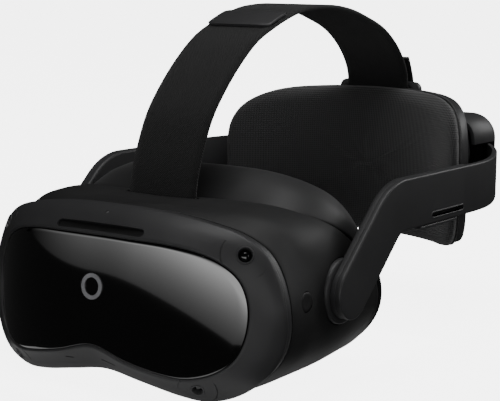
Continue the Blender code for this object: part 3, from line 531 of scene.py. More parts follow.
def cut(obj, cutter):
    """Cuts the cutter's shape out of an object, keeps the result as its mesh and removes the cutter."""
    modifier = obj.modifiers.new("Difference", "BOOLEAN")
    modifier.operation = "DIFFERENCE"
    modifier.solver = "EXACT"
    modifier.object = cutter
    bpy.context.view_layer.update()
    graph = bpy.context.evaluated_depsgraph_get()
    made = bpy.data.meshes.new_from_object(obj.evaluated_get(graph))
    obj.modifiers.clear()
    obj.data = made
    shade(obj)
    bpy.data.objects.remove(cutter)


def turn_to(axis):
    return Vector((0, 0, 1)).rotation_difference(Vector(axis)).to_matrix()


def turned(name, centre, axis, profile, look, body, replaces=(), segments=64, ring=False, crease=35.0):
    """A solid of revolution. Profile is (radius, height) along the axis; a ring never meets it."""
    turn, centre = turn_to(axis), Vector(centre)
    points, faces, rows = [], [], []
    for radius, height in profile:
        if radius == 0:
            rows.append([len(points)])
            points.append(centre + turn @ Vector((0, 0, height)))
            continue
        rows.append(list(range(len(points), len(points) + segments)))
        for index in range(segments):
            angle = 2 * math.pi * index / segments
            across = Vector((radius * math.cos(angle), radius * math.sin(angle), height))
            points.append(centre + turn @ across)
    pairs = list(zip(rows, rows[1:])) + ([(rows[-1], rows[0])] if ring else [])
    for low, high in pairs:
        for index in range(segments):
            after = (index + 1) % segments
            corners = [low[index % len(low)], low[after % len(low)],
                       high[after % len(high)], high[index % len(high)]]
            faces.append(tuple(dict.fromkeys(corners)))
    return solid(name, points, faces, look, body, replaces, crease)


def rounded(half_width, bottom, top, radii, steps=12):
    """A rectangle in XZ with rounded corners, upper and lower, with points along its long sides."""
    upper, lower = radii
    made = []
    corners = [(half_width - upper, top - upper, upper, 90), (half_width - lower, bottom + lower, lower, 0),
               (-half_width + lower, bottom + lower, lower, -90),
               (-half_width + upper, top - upper, upper, -180)]
    for cx, cz, radius, start in corners:
        for step in range(steps + 1):
            angle = math.radians(start - 90 * step / steps)
            made.append(Vector((cx + radius * math.cos(angle), 0, cz + radius * math.sin(angle))))
    filled = []
    for index, point in enumerate(made):
        after = made[(index + 1) % len(made)]
        filled.append(point)
        parts = int((after - point).length // 5)
        filled += [point.lerp(after, (k + 1) / (parts + 1)) for k in range(parts)]
    return filled


def plate(name, outline, profile, front, back, look, body, replaces=(), steps=10):
    """A plate over an XZ outline between two surfaces y(x, z). Profile rounds its edge: (in, along)."""
    middle = sum(outline, Vector()) / len(outline)

    def ring(surface, pull, push, share):
        made = []
        for point in inset(outline, pull):
            x = middle.x + (point.x - middle.x) * share
            z = middle.z + (point.z - middle.z) * share
            made.append(Vector((x, surface(x, z) + push, z)))
        return made

    last_in = profile[-1][0]
    shares = [1 - (k + 1) / (steps + 1) for k in range(steps)]
    rings = [ring(front, last_in, 0, share) for share in reversed(shares)]
    rings += [ring(front, pull, push, 1) for pull, push in reversed(profile)]
    rings += [ring(back, pull, -push, 1) for pull, push in profile]
    rings += [ring(back, last_in, 0, share) for share in shares]
    return loft(name, rings, look, body, "cap", replaces, 50)


def quarter_round(radius, steps=5):
    """An edge profile that turns from the side to the face: pairs of (in, along)."""
    turns = [math.pi / 2 * k / steps for k in range(steps + 1)]
    return [(radius * (1 - math.cos(turn)), radius * (1 - math.sin(turn))) for turn in turns]


def bar(name, low, high, look, body, replaces=(), edge=0.8, crease=30.0):
    """A moulded block with rounded edges."""
    low, high = Vector(low), Vector(high)
    corners = [(x, y, z) for x in (low.x, high.x) for y in (low.y, high.y) for z in (low.z, high.z)]
    faces = [(0, 1, 3, 2), (4, 6, 7, 5), (0, 4, 5, 1), (2, 3, 7, 6), (0, 2, 6, 4), (1, 5, 7, 3)]
    made = solid(name, corners, faces, look, body, replaces, crease)
    if edge:
        modifier = made.modifiers.new("Rounding", "BEVEL")
        modifier.width, modifier.segments = edge * MM, 4
    return made


def slot_shape(name, centre, normal, length, height, depth, along=(1, 0, 0)):
    """A stadium-shaped block along a direction, with its depth along the normal, to cut with or keep."""
    normal = Vector(normal).normalized()
    along = Vector(along)
    along = (along - normal * along.dot(normal)).normalized()
    up = normal.cross(along)
    radius = height / 2
    outline = []
    for side in (1, -1):
        for step in range(13):
            angle = math.pi * step / 12 - math.pi / 2
            outline.append((side * (length / 2 - radius + radius * math.cos(angle)),
                            side * radius * math.sin(angle)))
    rings = [[Vector(centre) + along * a + up * b + normal * depth * share for a, b in outline]
             for share in (-0.5, 0.5)]
    return loft(name, rings, "soft", None, "cap")


def nearest(obj, point):
    """The nearest point of a surface, in the drawing frame, with the normal there."""
    bpy.context.view_layer.update()
    tree = BVHTree.FromObject(obj, bpy.context.evaluated_depsgraph_get())
    spot, normal = tree.find_nearest(place(point))[:2]
    return (spot - DATUM) / MM, normal


# Visor

def window_y(x, z):
    wrap = WINDOW_CURVE * abs(x / WINDOW_HALF) ** 3
    rise = max(0.0, z - WINDOW_LEAN_START) / (WINDOW_TOP - WINDOW_LEAN_START)
    return -WINDOW_FRONT + wrap + WINDOW_LEAN * rise ** 2


def on_window(flat):
    return [Vector((p.x, window_y(p.x, p.z), p.z)) for p in flat]


def front_window(outline):
    edge = inset(outline, 0.12)
    plate("window_glass", edge, quarter_round(0.45, 3), window_y,
          lambda x, z: window_y(x, z) + WINDOW_THICK, "window", "visor", ["front_window"], 24)


def front_bezel(outline, seam):
    """The moulded frame: a rounded lip round the window, then one soft surface back to the seam."""
    lip = [inset(outline, pull, push) for pull, push in
           ((0.05, 1.6), (0.0, 0.5), (-0.25, -0.15), (-0.7, -0.45), (-1.3, -0.4), (-2.2, 0.3))]
    skin = between_rings([lip[-1], mix(lip[-1], seam, 0.25, 1.5), mix(lip[-1], seam, 0.5, 2.2),
                          mix(lip[-1], seam, 0.8, 1.7), inset(seam, 0.15, -0.9)], 6)
    edge = [inset(seam, pull, push) for pull, push in
            ((0.02, -0.35), (0.25, 0.25), (0.8, 0.6), (WALL, 0.7))]
    inner = [inset(seam, WALL + 1.2, -1.0), inset(outline, 2.5, 9.0), inset(outline, 4.0, 6.0),
             inset(outline, 4.0, WINDOW_THICK + 0.3), inset(outline, 0.1, WINDOW_THICK + 0.3)]
    return loft("bezel", lip + skin[1:] + edge + inner, "satin", "visor", "loop", ["front_bezel"], 40)


def camera_sets(bezel):
    """Each tracking camera sits in a flush round cover, outlined by a fine joint."""
    spots = {"upper": ((80, 19, 30.2), COVER_R, 1.0), "lower": ((59, 9, -38.8), COVER_R * 0.82, 0.75)}
    for level, (spot, radius, share) in spots.items():
        for side, hand in ((1, "left"), (-1, "right")):
            where, normal = nearest(bezel, (side * spot[0], spot[1], spot[2]))
            name = level + "_" + hand
            groove = turned("groove_cut", where, normal,
                            [(radius, -1.1), (radius + 0.6, -1.1), (radius + 0.6, 6), (radius, 6)],
                            "satin", None, segments=72, ring=True)
            cut(bezel, groove)
            rim = CAMERA_LENS_R * share + 1.2
            well = turned("well_cut", where, normal, [(0, -5), (rim, -5), (rim, 6), (0, 6)], "satin", None)
            cut(bezel, well)
            lens_r = CAMERA_LENS_R * share
            turned("lens_rim_" + name, where, normal,
                   [(rim - 0.05, -4.6), (rim - 0.05, -0.25), (rim - 0.3, 0.12), (rim - 0.75, 0.1),
                    (lens_r, -0.9), (lens_r, -4.6)],
                   "lighter_satin", "visor", ["camera_cover_" + name], ring=True, crease=45)
            dome = [(0, -2.6)] + [(lens_r * 0.94 * math.sin(a), -3.4 + 2.1 * math.cos(a)) for a in
                                  [math.pi / 2 * (1 - k / 8) for k in range(9)]][:-1] + [(0, -1.3)]
            dome = [(0, -4.4), (lens_r * 0.94, -4.4)] + dome[1:]
            turned("camera_glass_" + name, where, normal, dome, "lens", "visor", ["camera_lens_" + name],
                   crease=60)


def bezel_details(bezel):
    """The long vent slot with its grille, the status light, and the mic slits at the nose."""
    where, normal = nearest(bezel, (0, 5.7, 36.6))
    cut(bezel, slot_shape("vent_cut", where, normal, 2 * GRILLE_HALF, GRILLE_HEIGHT, 9))
    # The grille behind the slot carries painted shade that darkens the slot.
    mesh = slot_shape("vent_mesh", where - normal * 2.4, normal,
                      2 * GRILLE_HALF - 0.3, GRILLE_HEIGHT - 0.3, 1.0)
    finish_piece(mesh, "grille", "visor")
    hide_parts("vent_grille")
    where, normal = nearest(bezel, (0, 12, 43.5))
    cut(bezel, turned("light_cut", where, normal, [(0, -2), (0.95, -2), (0.95, 4), (0, 4)],
                      "satin", None, segments=32))
    turned("light_pipe", where, normal, [(0, -1.8), (0.8, -1.8), (0.8, -0.25), (0.5, -0.1), (0, -0.05)],
           "diffuser", "visor", ["status_light"], segments=32)
    for x, length in ((8, 9), (-17, 5)):
        where, normal = nearest(bezel, (x, 3.0, -31.0))
        ahead = nearest(bezel, (x + 2, 3.0, -31.4))[0] - where
        cut(bezel, slot_shape("mic_cut", where, normal, length, 0.7, 3, ahead))


def trim_and_shell(seam):
    """The thin strip behind the bezel's seam, and the visor's body behind it. Returns the body."""
    start, end = inset(seam, 1.0, 1.2), inset(seam, 1.3, 0.7 + TRIM_WIDTH)
    rings = [inset(start, 0.5, 0.0), inset(start, 0.1, 0.25), start, inset(start, -0.05, 0.5),
             mix(start, end, 0.5, 0.1), inset(end, -0.02, -0.5), inset(end, 0.1, -0.2),
             inset(end, 0.5, 0.0), inset(end, 2.2), inset(start, 2.2)]
    loft("trim_strip", rings, "satin", "visor", "loop", ["trim_ring"], 50)
    begin = inset(seam, 1.35, 1.0 + TRIM_WIDTH + SEAM_GAP)
    middle, rear = whole(SHELL_MIDDLE), whole(SHELL_REAR)
    skin = between_rings([begin, mix(begin, middle, 0.5, 0.4), middle, mix(middle, rear, 0.5, 0.6),
                          inset(rear, 0.3, -2.0)], 8)
    edge = [inset(rear, 0.25, -0.8), inset(rear, 0.6, 0.1), inset(rear, 1.2, 0.6), inset(rear, WALL, 0.5)]
    inner = [inset(ring, WALL) for ring in reversed([begin, middle, mix(middle, rear, 0.5), rear])]
    front_edge = [inset(begin, 0.6, 0.0), inset(begin, 0.15, 0.2)]
    return loft("shell", front_edge + skin[1:] + edge + inner, "soft", "visor", "loop", ["shell_housing"],
                40)


def shell_openings(shell):
    """The strap's slot, the keys' wells, the wheel's slot and the port."""
    strap_y = STRAP_FRONT_Y + STRAP_THICK / 2
    cut(shell, slot_shape("strap_cut", (0, strap_y, 46), (0, 0, 1), STRAP_WIDTH + 4, STRAP_THICK + 2, 22))
    low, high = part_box("power_button")
    centre = (low + high) / 2 - DATUM
    skin = (high.x - DATUM.x) / MM
    where = Vector((skin, centre.y / MM, centre.z / MM))
    well_r = POWER_BUTTON_R + 0.3
    cut(shell, turned("key_cut", where, (1, 0, 0), [(0, -8), (well_r, -8), (well_r, 6), (0, 6)],
                      "soft", None))
    turned("power_key", where, (1, 0, 0),
           [(0, -3.6), (POWER_BUTTON_R, -3.6), (POWER_BUTTON_R, -0.6), (POWER_BUTTON_R - 0.15, -0.3),
            (POWER_BUTTON_R - 0.5, -0.12), (POWER_BUTTON_R * 0.6, -0.25), (0, -0.35)],
           "soft", "power_key", ["power_button"], crease=50)
    for node_name in ("volume_up", "volume_down"):
        low, high = node_box(node_name)
        room = Vector((6, 0.3, 0.3))
        cut(shell, bar("volume_cut", low - room, high + room, "soft", None, (), 0))
    low, high = node_box("spacing_wheel")
    cut(shell, bar("wheel_cut", low - Vector((0.7, 1.3, 15)), (high.x + 0.7, high.y + 1.3, high.z - 11.2),
                   "soft", None, (), 0))
    low, high = node_box("data_port")
    cut(shell, bar("port_cut", low - Vector((0.4, 0.4, 18)), (high.x + 0.4, high.y + 0.4, high.z - 3),
                   "soft", None, (), 0))


def pivots(shell):
    """The raised base disc that each arm turns on."""
    for side, hand in ((1, "left"), (-1, "right")):
        low, high = node_box("pivot_base_" + hand)
        inner, outer = sorted((abs(low.x), abs(high.x)))
        centre, axis = Vector((side * inner, PIVOT_Y, PIVOT_Z)), (side, 0, 0)
        top = outer - inner
        pocket_r = PIVOT_BASE_R + 0.5
        cut(shell, turned("pivot_cut", centre, axis,
                          [(0, -12), (3.8, -12), (3.8, -0.3), (pocket_r, -0.3), (pocket_r, 12), (0, 12)],
                          "soft", None, segments=96))
        turned("pivot_disc_" + hand, centre, axis,
               [(3.8, 0), (PIVOT_BASE_R - 0.4, 0), (PIVOT_BASE_R, 0.4), (PIVOT_BASE_R, top - 1.3),
                (PIVOT_BASE_R - 0.2, top - 0.6), (PIVOT_BASE_R - 0.6, top - 0.2), (PIVOT_BASE_R - 1.2, top),
                (3.8, top)], "satin", "visor", ["pivot_base_" + hand], 96, ring=True)


# Arms

def arm_path(side, to_tip):
    """The middle of the arm's outer face, from its round end to where it stops, and its heights."""
    radius = ARM_HEIGHT / 2
    rise = Vector((0, math.cos(ARM_SLOPE), math.sin(ARM_SLOPE)))
    start = Vector((side * ARM_SPREAD, PIVOT_Y, PIVOT_Z))
    path, heights = [], []
    for step in range(15):
        turn = math.radians(86 - 6 * step)
        path.append(start - rise * radius * math.sin(turn))
        heights.append(2 * radius * math.cos(turn))
    corner = start + rise * (ARM_RISE / math.sin(ARM_SLOPE))
    bend_start = corner - rise * (ARM_BEND_R * math.tan(ARM_SLOPE / 2))
    path += [start.lerp(bend_start, k / 6) for k in range(6)]
    centre = bend_start + Vector((0, math.sin(ARM_SLOPE), -math.cos(ARM_SLOPE))) * ARM_BEND_R
    for step in range(13):
        angle = math.pi / 2 + ARM_SLOPE * (1 - step / 12)
        path.append(centre + Vector((0, math.cos(angle), math.sin(angle))) * ARM_BEND_R)
    level = PIVOT_Z + ARM_RISE
    path += [Vector((side * ARM_SPREAD, y, level)) for y in (150, 158, 166, 174, 182, 190, 198, 205)]
    if to_tip:
        plan = [(ARM_SPREAD, ARM_STRAIGHT_END)] + BAND_CURVE
        curve = curve_through([(x, y, 0) for x, y in plan], 5, False)
        path += [Vector((side * p.x, p.y, level)) for p in curve]
    else:
        path.append(Vector((side * ARM_SPREAD, ARM_STRAIGHT_END - 1, level)))
    heights += [ARM_HEIGHT] * (len(path) - len(heights))
    return path, heights


def section(low, high, half, outer_r, inner_r, steps=5):
    """A bar's cross-section as (out, up): its outer and inner edges rounded by their own radii."""
    made = []
    quads = [(high, -half, outer_r, -90), (high, half, outer_r, 0),
             (low, half, inner_r, 90), (low, -half, inner_r, 180)]
    for x, z, radius, start in quads:
        radius = min(radius, half * 0.45)
        cx = x - math.copysign(radius, x - (low + high) / 2)
        cz = z - math.copysign(radius, z)
        for step in range(steps + 1):
            angle = math.radians(start + 90 * step / steps)
            made.append((cx + radius * math.cos(angle), cz + radius * math.sin(angle)))
    return made


def sweep(name, path, heights, low, high, outer_r, inner_r, look, body, replaces):
    """A bar that follows a path, from low to high across its thickness, with a height at each point."""
    rings = []
    count = len(path)
    for index, point in enumerate(path):
        along = (path[min(index + 1, count - 1)] - path[max(index - 1, 0)]).normalized()
        plan = Vector((along.x, along.y, 0)).normalized()
        out = Vector((plan.y, -plan.x, 0)) * (1 if point.x > 0 else -1)
        up = out.cross(along).normalized()
        up = -up if up.z < 0 else up
        rings.append([point + out * a + up * b
                      for a, b in section(low, high, heights[index] / 2, outer_r, inner_r)])
    return loft(name, rings, look, body, "cap", replaces, 40)


def arms():
    """Each arm's outer skin, inner cover, sound slot with its rim, and the lip under it."""
    for side, hand in ((1, "left"), (-1, "right")):
        path, heights = arm_path(side, True)
        outer = sweep("arm_skin_" + hand, path, heights, -ARM_SHELL, 0, 1.15, 0.12, "satin", "head_band",
                      ["arm_" + hand])
        level = PIVOT_Z + 29.3
        centre, out, back = (side * ARM_SPREAD, 186, level), (side, 0, 0), (0, 1, 0)
        cut(outer, slot_shape("sound_cut", centre, out, 37, 2.4, 12, back))
        rim = slot_shape("sound_rim_" + hand, (side * (ARM_SPREAD - 1.2), 186, level), out,
                         39.0, 4.0, 2.9, back)
        cut(rim, slot_shape("rim_cut", centre, out, 37, 2.4, 12, back))
        finish_piece(rim, "lighter_satin", "head_band", 0.18)
        path, heights = arm_path(side, False)
        cover = sweep("arm_inner_" + hand, path, heights, -ARM_THICK, -ARM_SHELL - 0.08, 0.12, 1.6,
                      "satin", "head_band", ["arm_cover_" + hand])
        cut(cover, turned("step_cut", (side * (ARM_SPREAD - ARM_THICK), PIVOT_Y, PIVOT_Z), out,
                          [(0, -4), (PIVOT_BASE_R + 1, -4), (PIVOT_BASE_R + 1, 1.2), (0, 1.2)],
                          "soft", None))
        skin = ARM_SPREAD - ARM_SHELL - 0.3
        box = sorted((side * (skin - 2.6), side * (skin + 4)))
        cut(cover, bar("pocket_cut", (box[0], 164, PIVOT_Z + 25), (box[1], 208, PIVOT_Z + 37),
                       "soft", None, (), 0))
        low, high = node_box("sound_lip_" + hand)
        bar("underside_lip_" + hand, low, high, "lighter_satin", "head_band", ["sound_lip_" + hand], 0.6)


def finish_piece(obj, look, body, edge=0.0):
    """Gives a piece its look and its body, and rounds its edges if asked."""
    dress(obj, look)
    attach(obj, body)
    if edge:
        modifier = obj.modifiers.new("Rounding", "BEVEL")
        modifier.width, modifier.segments, modifier.limit_method = edge * MM, 2, "ANGLE"
        modifier.angle_limit = math.radians(40)


# Rear cradle

def pad_front(x, z):
    return PAD_REAR_Y - PAD_R + math.sqrt(PAD_R ** 2 - min(abs(x), PAD_HALF + 4) ** 2)


def pad_face(x, z):
    """Where the pad's cover turns from its edge to its face: the foam thickens towards both sides."""
    return pad_front(x, z) + PAD_FOAM - PAD_WRAP * (x / PAD_HALF) ** 2


def pad_back(x, z):
    return pad_front(x, z) + 3.5 + (PAD_THICK - 3.5) * (1 - (x / PAD_HALF) ** 2)


def carrier_front(x, z):
    return pad_back(x, z) + 0.6


def carrier_back(x, z):
    return carrier_front(x, z) + CARRIER_THICK + 2.0 * (x / PAD_HALF) ** 2


def puffed(obj, pressure, cap_mm):
    """Swells a padded piece with a short cloth simulation, and caps how far any point moves."""
    start = np.array([v.co for v in obj.data.vertices])
    cloth = obj.modifiers.new("Cloth", "CLOTH")
    cloth.settings.use_pressure = True
    cloth.settings.uniform_pressure_force = pressure
    cloth.settings.effector_weights.gravity = 0
    cloth.settings.quality = 6
    scene = bpy.context.scene
    for step in range(1, 16):
        scene.frame_set(step)
    graph = bpy.context.evaluated_depsgraph_get()
    swollen = obj.evaluated_get(graph).to_mesh()
    moved = np.array([v.co for v in swollen.vertices]) - start
    reach = np.linalg.norm(moved, axis=1)
    share = np.minimum(1.0, cap_mm * MM / np.maximum(reach, 1e-9))
    obj.modifiers.clear()
    obj.data.vertices.foreach_set("co", (start + moved * share[:, None]).astype(np.float32).ravel())
    obj.data.update()
    scene.frame_set(1)


def rear_pad():
    """The head pad: a crowned foam body under spacer mesh, its edges rolled well over to the back."""
    outline = whole(PAD_OUTLINE, 5)
    middle = sum(outline, Vector()) / len(outline)

    def ring(pull, share, surface, push):
        made = []
        for point in inset(outline, pull):
            x, z = middle.x + (point.x - middle.x) * share, middle.z + (point.z - middle.z) * share
            made.append(Vector((x, surface(x, z) + push, z)))
        return made

    def rise(pull, share):
        rolled = PAD_ROLL_HEIGHT * math.sqrt(1 - (1 - min(pull / PAD_ROLL, 1)) ** 2)
        return rolled + PAD_CROWN * (1 - share ** 2)

    rings = [ring(1.5, share, pad_back, -0.2) for share in (0.3, 0.6, 0.85, 1)]
    rings.append(ring(0.3, 1, lambda x, z: pad_face(x, z) + 0.4, 0))
    for pull in (0.0, 0.25, 0.8, 1.7, 2.9, 4.3, 6, 8, 11):
        rings.append(ring(pull, 1, pad_face, -rise(pull, 1)))
    for step in range(1, 22):
        share = 1 - step / 22
        rings.append(ring(PAD_ROLL, share, pad_face, -rise(PAD_ROLL, share)))
    pad = loft("head_pad", rings, "mesh", "rear_cradle", "cap", ["rear_pad"], 60)
    puffed(pad, 1.0, 1.2)
    shade(pad, 60)
    edge = [Vector((p.x, pad_back(p.x, p.z) - 0.1, p.z)) for p in inset(outline, 0.5)]
    piping("pad_binding", edge, 0.6, "binding", "rear_cradle")
    return outline


def piping(name, path, radius, look, body):
    """A round cord sewn all along a closed seam."""
    rings = []
    for index, point in enumerate(path):
        along = (path[(index + 1) % len(path)] - path[index - 1]).normalized()
        side = along.cross(Vector((0, 1, 0)))
        side = side.normalized() if side.length > 0.05 else Vector((1, 0, 0))
        up = side.cross(along).normalized()
        rings.append([point + side * radius * math.cos(a) + up * radius * math.sin(a)
                      for a in [2 * math.pi * k / 10 for k in range(10)]])
    loft(name, rings, look, body, "loop", (), 80)


def rear_carrier(outline):
    """The pad's stiff shell, which shows as a smooth band round its sides, and the neck behind it."""
    board = [Vector((p.x, 0, p.z)) for p in inset(outline, 0.7)]
    plate("pad_carrier", board, quarter_round(2.0, 5), carrier_front, carrier_back,
          "satin", "rear_cradle", ["rear_carrier"], 14)
    neck_front = PAD_REAR_Y + PAD_THICK + CARRIER_THICK + 0.9
    neck = rounded(HOUSING_HALF - 3, HOUSING_BOTTOM + 4, HOUSING_TOP - 6, (14, 14), 10)
    plate("cradle_neck", neck, [(0, 0.4), (0.4, 0)],
          lambda x, z: neck_front, lambda x, z: HOUSING_FRONT - 0.3,
          "soft", "rear_cradle", ["rear_neck"], 4)


def rear_housing():
    """The box behind the pad: a shell with full rounded back edges, and a slot each side for the bands."""
    outer = rounded(HOUSING_HALF, HOUSING_BOTTOM, HOUSING_TOP, (16, 16), 14)
    depth = HOUSING_REAR - HOUSING_FRONT
    stages = [(0.9, 0), (0.35, 0.12), (0.0, 0.7), (0, depth - 12)]
    for step in range(1, 9):
        angle = math.pi / 2 * step / 8
        stages.append((9 * (1 - math.cos(angle)), depth - 12 + 12 * math.sin(angle)))
    skin = [inset(outer, pull, HOUSING_FRONT + y) for pull, y in stages]
    rim = skin[-1]
    back_centre = sum(rim, Vector()) / len(outer)
    for share in (0.75, 0.5, 0.25):
        skin.append([back_centre.lerp(p, share) for p in skin[-1]])
    wall = Vector((0, HOUSING_WALL, 0))
    inner = [[back_centre.lerp(p, 0.2) - wall for p in rim], [p - wall for p in inset(rim, HOUSING_WALL)],
             inset(outer, HOUSING_WALL + 0.9, HOUSING_FRONT + depth - 9),
             inset(outer, HOUSING_WALL, HOUSING_FRONT)]
    body = loft("housing_skin", skin + inner, "satin", "rear_cradle", "loop", ["rear_housing"], 40)
    level = PIVOT_Z + ARM_RISE
    for side in (1, -1):
        x = sorted((side * 53, side * (HOUSING_HALF + 6)))
        cut(body, bar("band_cut", (x[0], HOUSING_FRONT - 4, level - ARM_HEIGHT / 2 - 1),
                      (x[1], HOUSING_REAR - 6, level + ARM_HEIGHT / 2 + 1), "soft", None, (), 0))


def fit_dial():
    """The size dial: a knurled rim, a shallow dished face and an index dot."""
    low, high = node_box("fit_dial")
    centre = Vector(((low.x + high.x) / 2, low.y, (low.z + high.z) / 2))
    radius, thick = (high.x - low.x) / 2, high.y - low.y
    count, teeth = 288, 48
    stages = [(0.0, 0.0, 0.96), (0.8, 1.0, 1.0), (thick - 1.6, 1.0, 1.0), (thick - 0.6, 0.6, 0.985),
              (thick, 0.0, 0.94), (thick, 0.0, 0.84), (thick - 0.7, 0.0, 0.76), (thick - 1.0, 0.0, 0.4)]
    rings = []
    for y, knurl, share in stages:
        ring = []
        for index in range(count):
            angle = 2 * math.pi * index / count
            r = radius * share - 0.45 * knurl * (1 - math.cos(angle * teeth)) / 2
            ring.append(centre + Vector((r * math.cos(angle), y, r * math.sin(angle))))
        rings.append(ring)
    loft("size_dial", rings, "satin", "size_dial", "cap", ["fit_dial"], 40)
    turned("dial_dot", centre + Vector((0, thick - 0.75, radius * 0.55)), (0, 1, 0),
           [(0, -0.2), (1.1, -0.2), (1.1, 0.15), (0.9, 0.25), (0, 0.25)],
           "lighter_satin", "size_dial", segments=32)


def strap_bracket():
    """The loop that the top strap folds round, standing on the cradle behind the pad's top edge."""
    base = PAD_TOP - 4.2
    outer = resample(rounded(STRAP_WIDTH / 2 + 7.2, base, BRACKET_TOP, (4.6, 2), 8), 120)
    window = resample(rounded(STRAP_WIDTH / 2 + 1.8, base + 1.8, BRACKET_TOP - 3, (1.2, 1.2), 8), 120)
    front, back = BRACKET_FRONT, BRACKET_REAR
    rings = [inset(outer, 0.5, front), inset(outer, 0.12, front + 0.15), inset(outer, 0, front + 0.6),
             inset(outer, 0, back - 0.6), inset(outer, 0.12, back - 0.15), inset(outer, 0.5, back),
             inset(window, -0.4, back), inset(window, 0, back - 0.5), inset(window, 0, front + 0.5),
             inset(window, -0.4, front)]
    loft("bracket_loop", rings, "satin", "rear_cradle", "loop", ["strap_bracket"], 50)


def resample(ring, count):
    """The same closed outline with evenly spaced points, starting at the top centre."""
    loop = ring + [ring[0]]
    lengths = [0.0]
    for a, b in zip(loop, loop[1:]):
        lengths.append(lengths[-1] + (b - a).length)
    made, index = [], 0
    for k in range(count):
        goal = lengths[-1] * k / count
        while lengths[index + 1] < goal:
            index += 1
        share = (goal - lengths[index]) / max(lengths[index + 1] - lengths[index], 1e-9)
        made.append(loop[index].lerp(loop[index + 1], share))
    return made


# Soft goods

def face_cushion():
    """The face cushion: a fat smooth ring whose inner lip turns in towards the eyes."""
    rear, back = whole(SHELL_REAR), whole(CUSHION_REAR)
    front = inset(rear, 1.4, 4.2)
    rings = between_rings([inset(front, 1.6, -0.3), inset(front, 0.1, 1.4), mix(front, back, 0.5, 2.0),
                           inset(back, 0.6, -3.0), inset(back, 2.2, -0.4), inset(back, 6.0, 0.6),
                           inset(back, 10.5, 0.2), inset(back, 13.4, -2.8),
                           mix(inset(front, 11), inset(back, 13.5), 0.4), inset(front, 9.2, 0.2)], 5)
    cushion = loft("face_pad_foam", rings, "leather", "face_pad", "loop", ["face_cushion"], 60)


def strap_piece(name, line, node_name):
    """Woven strap with rounded selvedges. Its width is across X and its length runs back."""
    path = curve_through([Vector((0, y, z)) for y, z in line], 8, closed=False)
    half, thick = STRAP_WIDTH / 2, STRAP_THICK
    across = [(-half, 0.5), (-half + 0.25, 0.85), (-half + 0.7, 1.0)]
    across += [(-half + 0.7 + (2 * half - 1.4) * k / 12, 1.0) for k in range(1, 12)]
    across += [(half - 0.7, 1.0), (half - 0.25, 0.85), (half, 0.5)]
    profile = [(x, (share - 1) * thick) for x, share in across]
    profile += [(x, -share * thick) for x, share in reversed(across)]
    rings = []
    for index, point in enumerate(path):
        along = (path[min(index + 1, len(path) - 1)] - path[max(index - 1, 0)]).normalized()
        out = Vector((0, -along.z, along.y))
        rings.append([point + Vector((x, 0, 0)) + out * lift for x, lift in profile])
    strap = loft(name, rings, "webbing", None, "cap", [node_name], 60)
    weave_map(strap, path)
    return strap, path


def weave_map(strap, path):
    """UV in metres, across and along the strap, so that the weave follows it round."""
    lengths = [0.0]
    for a, b in zip(path, path[1:]):
        lengths.append(lengths[-1] + (b - a).length)
    per_ring = len(strap.data.vertices) // len(path)
    layer = strap.data.uv_layers.new(name="weave")
    for loop in strap.data.loops:
        vertex = loop.vertex_index
        x = strap.data.vertices[vertex].co.x
        layer.data[loop.index].uv = (x, lengths[vertex // per_ring] * MM)


def straps():
    """The two straps, which meet under the tab on the crown."""
    for end, line, bodies in (("front", STRAP_FRONT, ("visor", "head_band")),
                              ("rear", STRAP_REAR, ("head_band", "rear_cradle"))):
        strap, path = strap_piece("strap_webbing_" + end, line, "strap_" + end)
        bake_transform(strap)


def tab():
    """The moulded tab that closes the strap over the crown."""
    crown = ((123, 132.3), (129, 134.8), (136, 137.4), (142, 139.3))
    line = curve_through([Vector((0, y, z)) for y, z in crown], 6, closed=False)
    profile = ((-1, 0.1), (-1, 0.8), (-0.985, 1.1), (-0.95, 1.3), (0, 1.3),
               (0.95, 1.3), (0.985, 1.1), (1, 0.8), (1, 0.1), (0, 0.1))
    half, rings = STRAP_WIDTH / 2 - 0.6, []
    count = len(line)
    for index, point in enumerate(line):
        along = (line[min(index + 1, count - 1)] - line[max(index - 1, 0)]).normalized()
        out = Vector((0, -along.z, along.y))
        end = min(index, count - 1 - index) / 3.0
        side = half - 4.5 * (1 - min(1.0, end)) ** 2
        rings.append([point + Vector((side * share, 0, 0)) + out * lift for share, lift in profile])
    made = loft("crown_tab", rings, "lighter_satin", None, "cap", ["strap_tab"], 40)
    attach(made, "head_band")


# Set

def plain_nodes():
    """CAD nodes whose shape is already right get their finish here."""
    looks = {
        "steel": ["pivot_pin_left", "pivot_pin_right", "spacing_axle", "data_port", "strap_bar_front",
                  "dial_pinion"],
        "soft": ["volume_up", "volume_down", "lens_barrel_left", "lens_barrel_right", "lens_plate",
                 "cooling_fan", "gasket_frame", "speaker_left", "speaker_right", "battery_pack"],
        "lens": ["eyepiece_lens_left", "eyepiece_lens_right", "display_panel_left", "display_panel_right"],
        "satin": ["spacing_wheel", "battery_latch", "rack_left", "rack_right"],
        "aluminium": ["heat_sink"], "board": ["main_board"], "emblem": ["front_emblem"],
    }
    for look, names in looks.items():
        for name in names:
            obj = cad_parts[name]
            obj.data.materials.clear()
            obj.data.materials.append(LOOKS[look][0])
            shade(obj, 30)


def bearing(azimuth, elevation):
    """The direction at this azimuth from straight ahead and this elevation, both in degrees."""
    a, e = math.radians(azimuth), math.radians(elevation)
    return Vector((math.sin(a) * math.cos(e), -math.cos(a) * math.cos(e), math.sin(e)))


def stage_sheet(name, mesh, surface):
    """A sheet that lights the set, unseen by the camera and casting no shadow."""
    sheet = bpy.data.objects.new(name, mesh)
    bpy.context.scene.collection.objects.link(sheet)
    mesh.materials.append(surface)
    sheet.visible_camera = False
    sheet.visible_shadow = False


def panel_edge(azimuth):
    """The elevation of the softbox's lower edge, which falls towards the wearer's left."""
    return -5.2 - 0.175 * azimuth - 0.0012 * azimuth ** 2


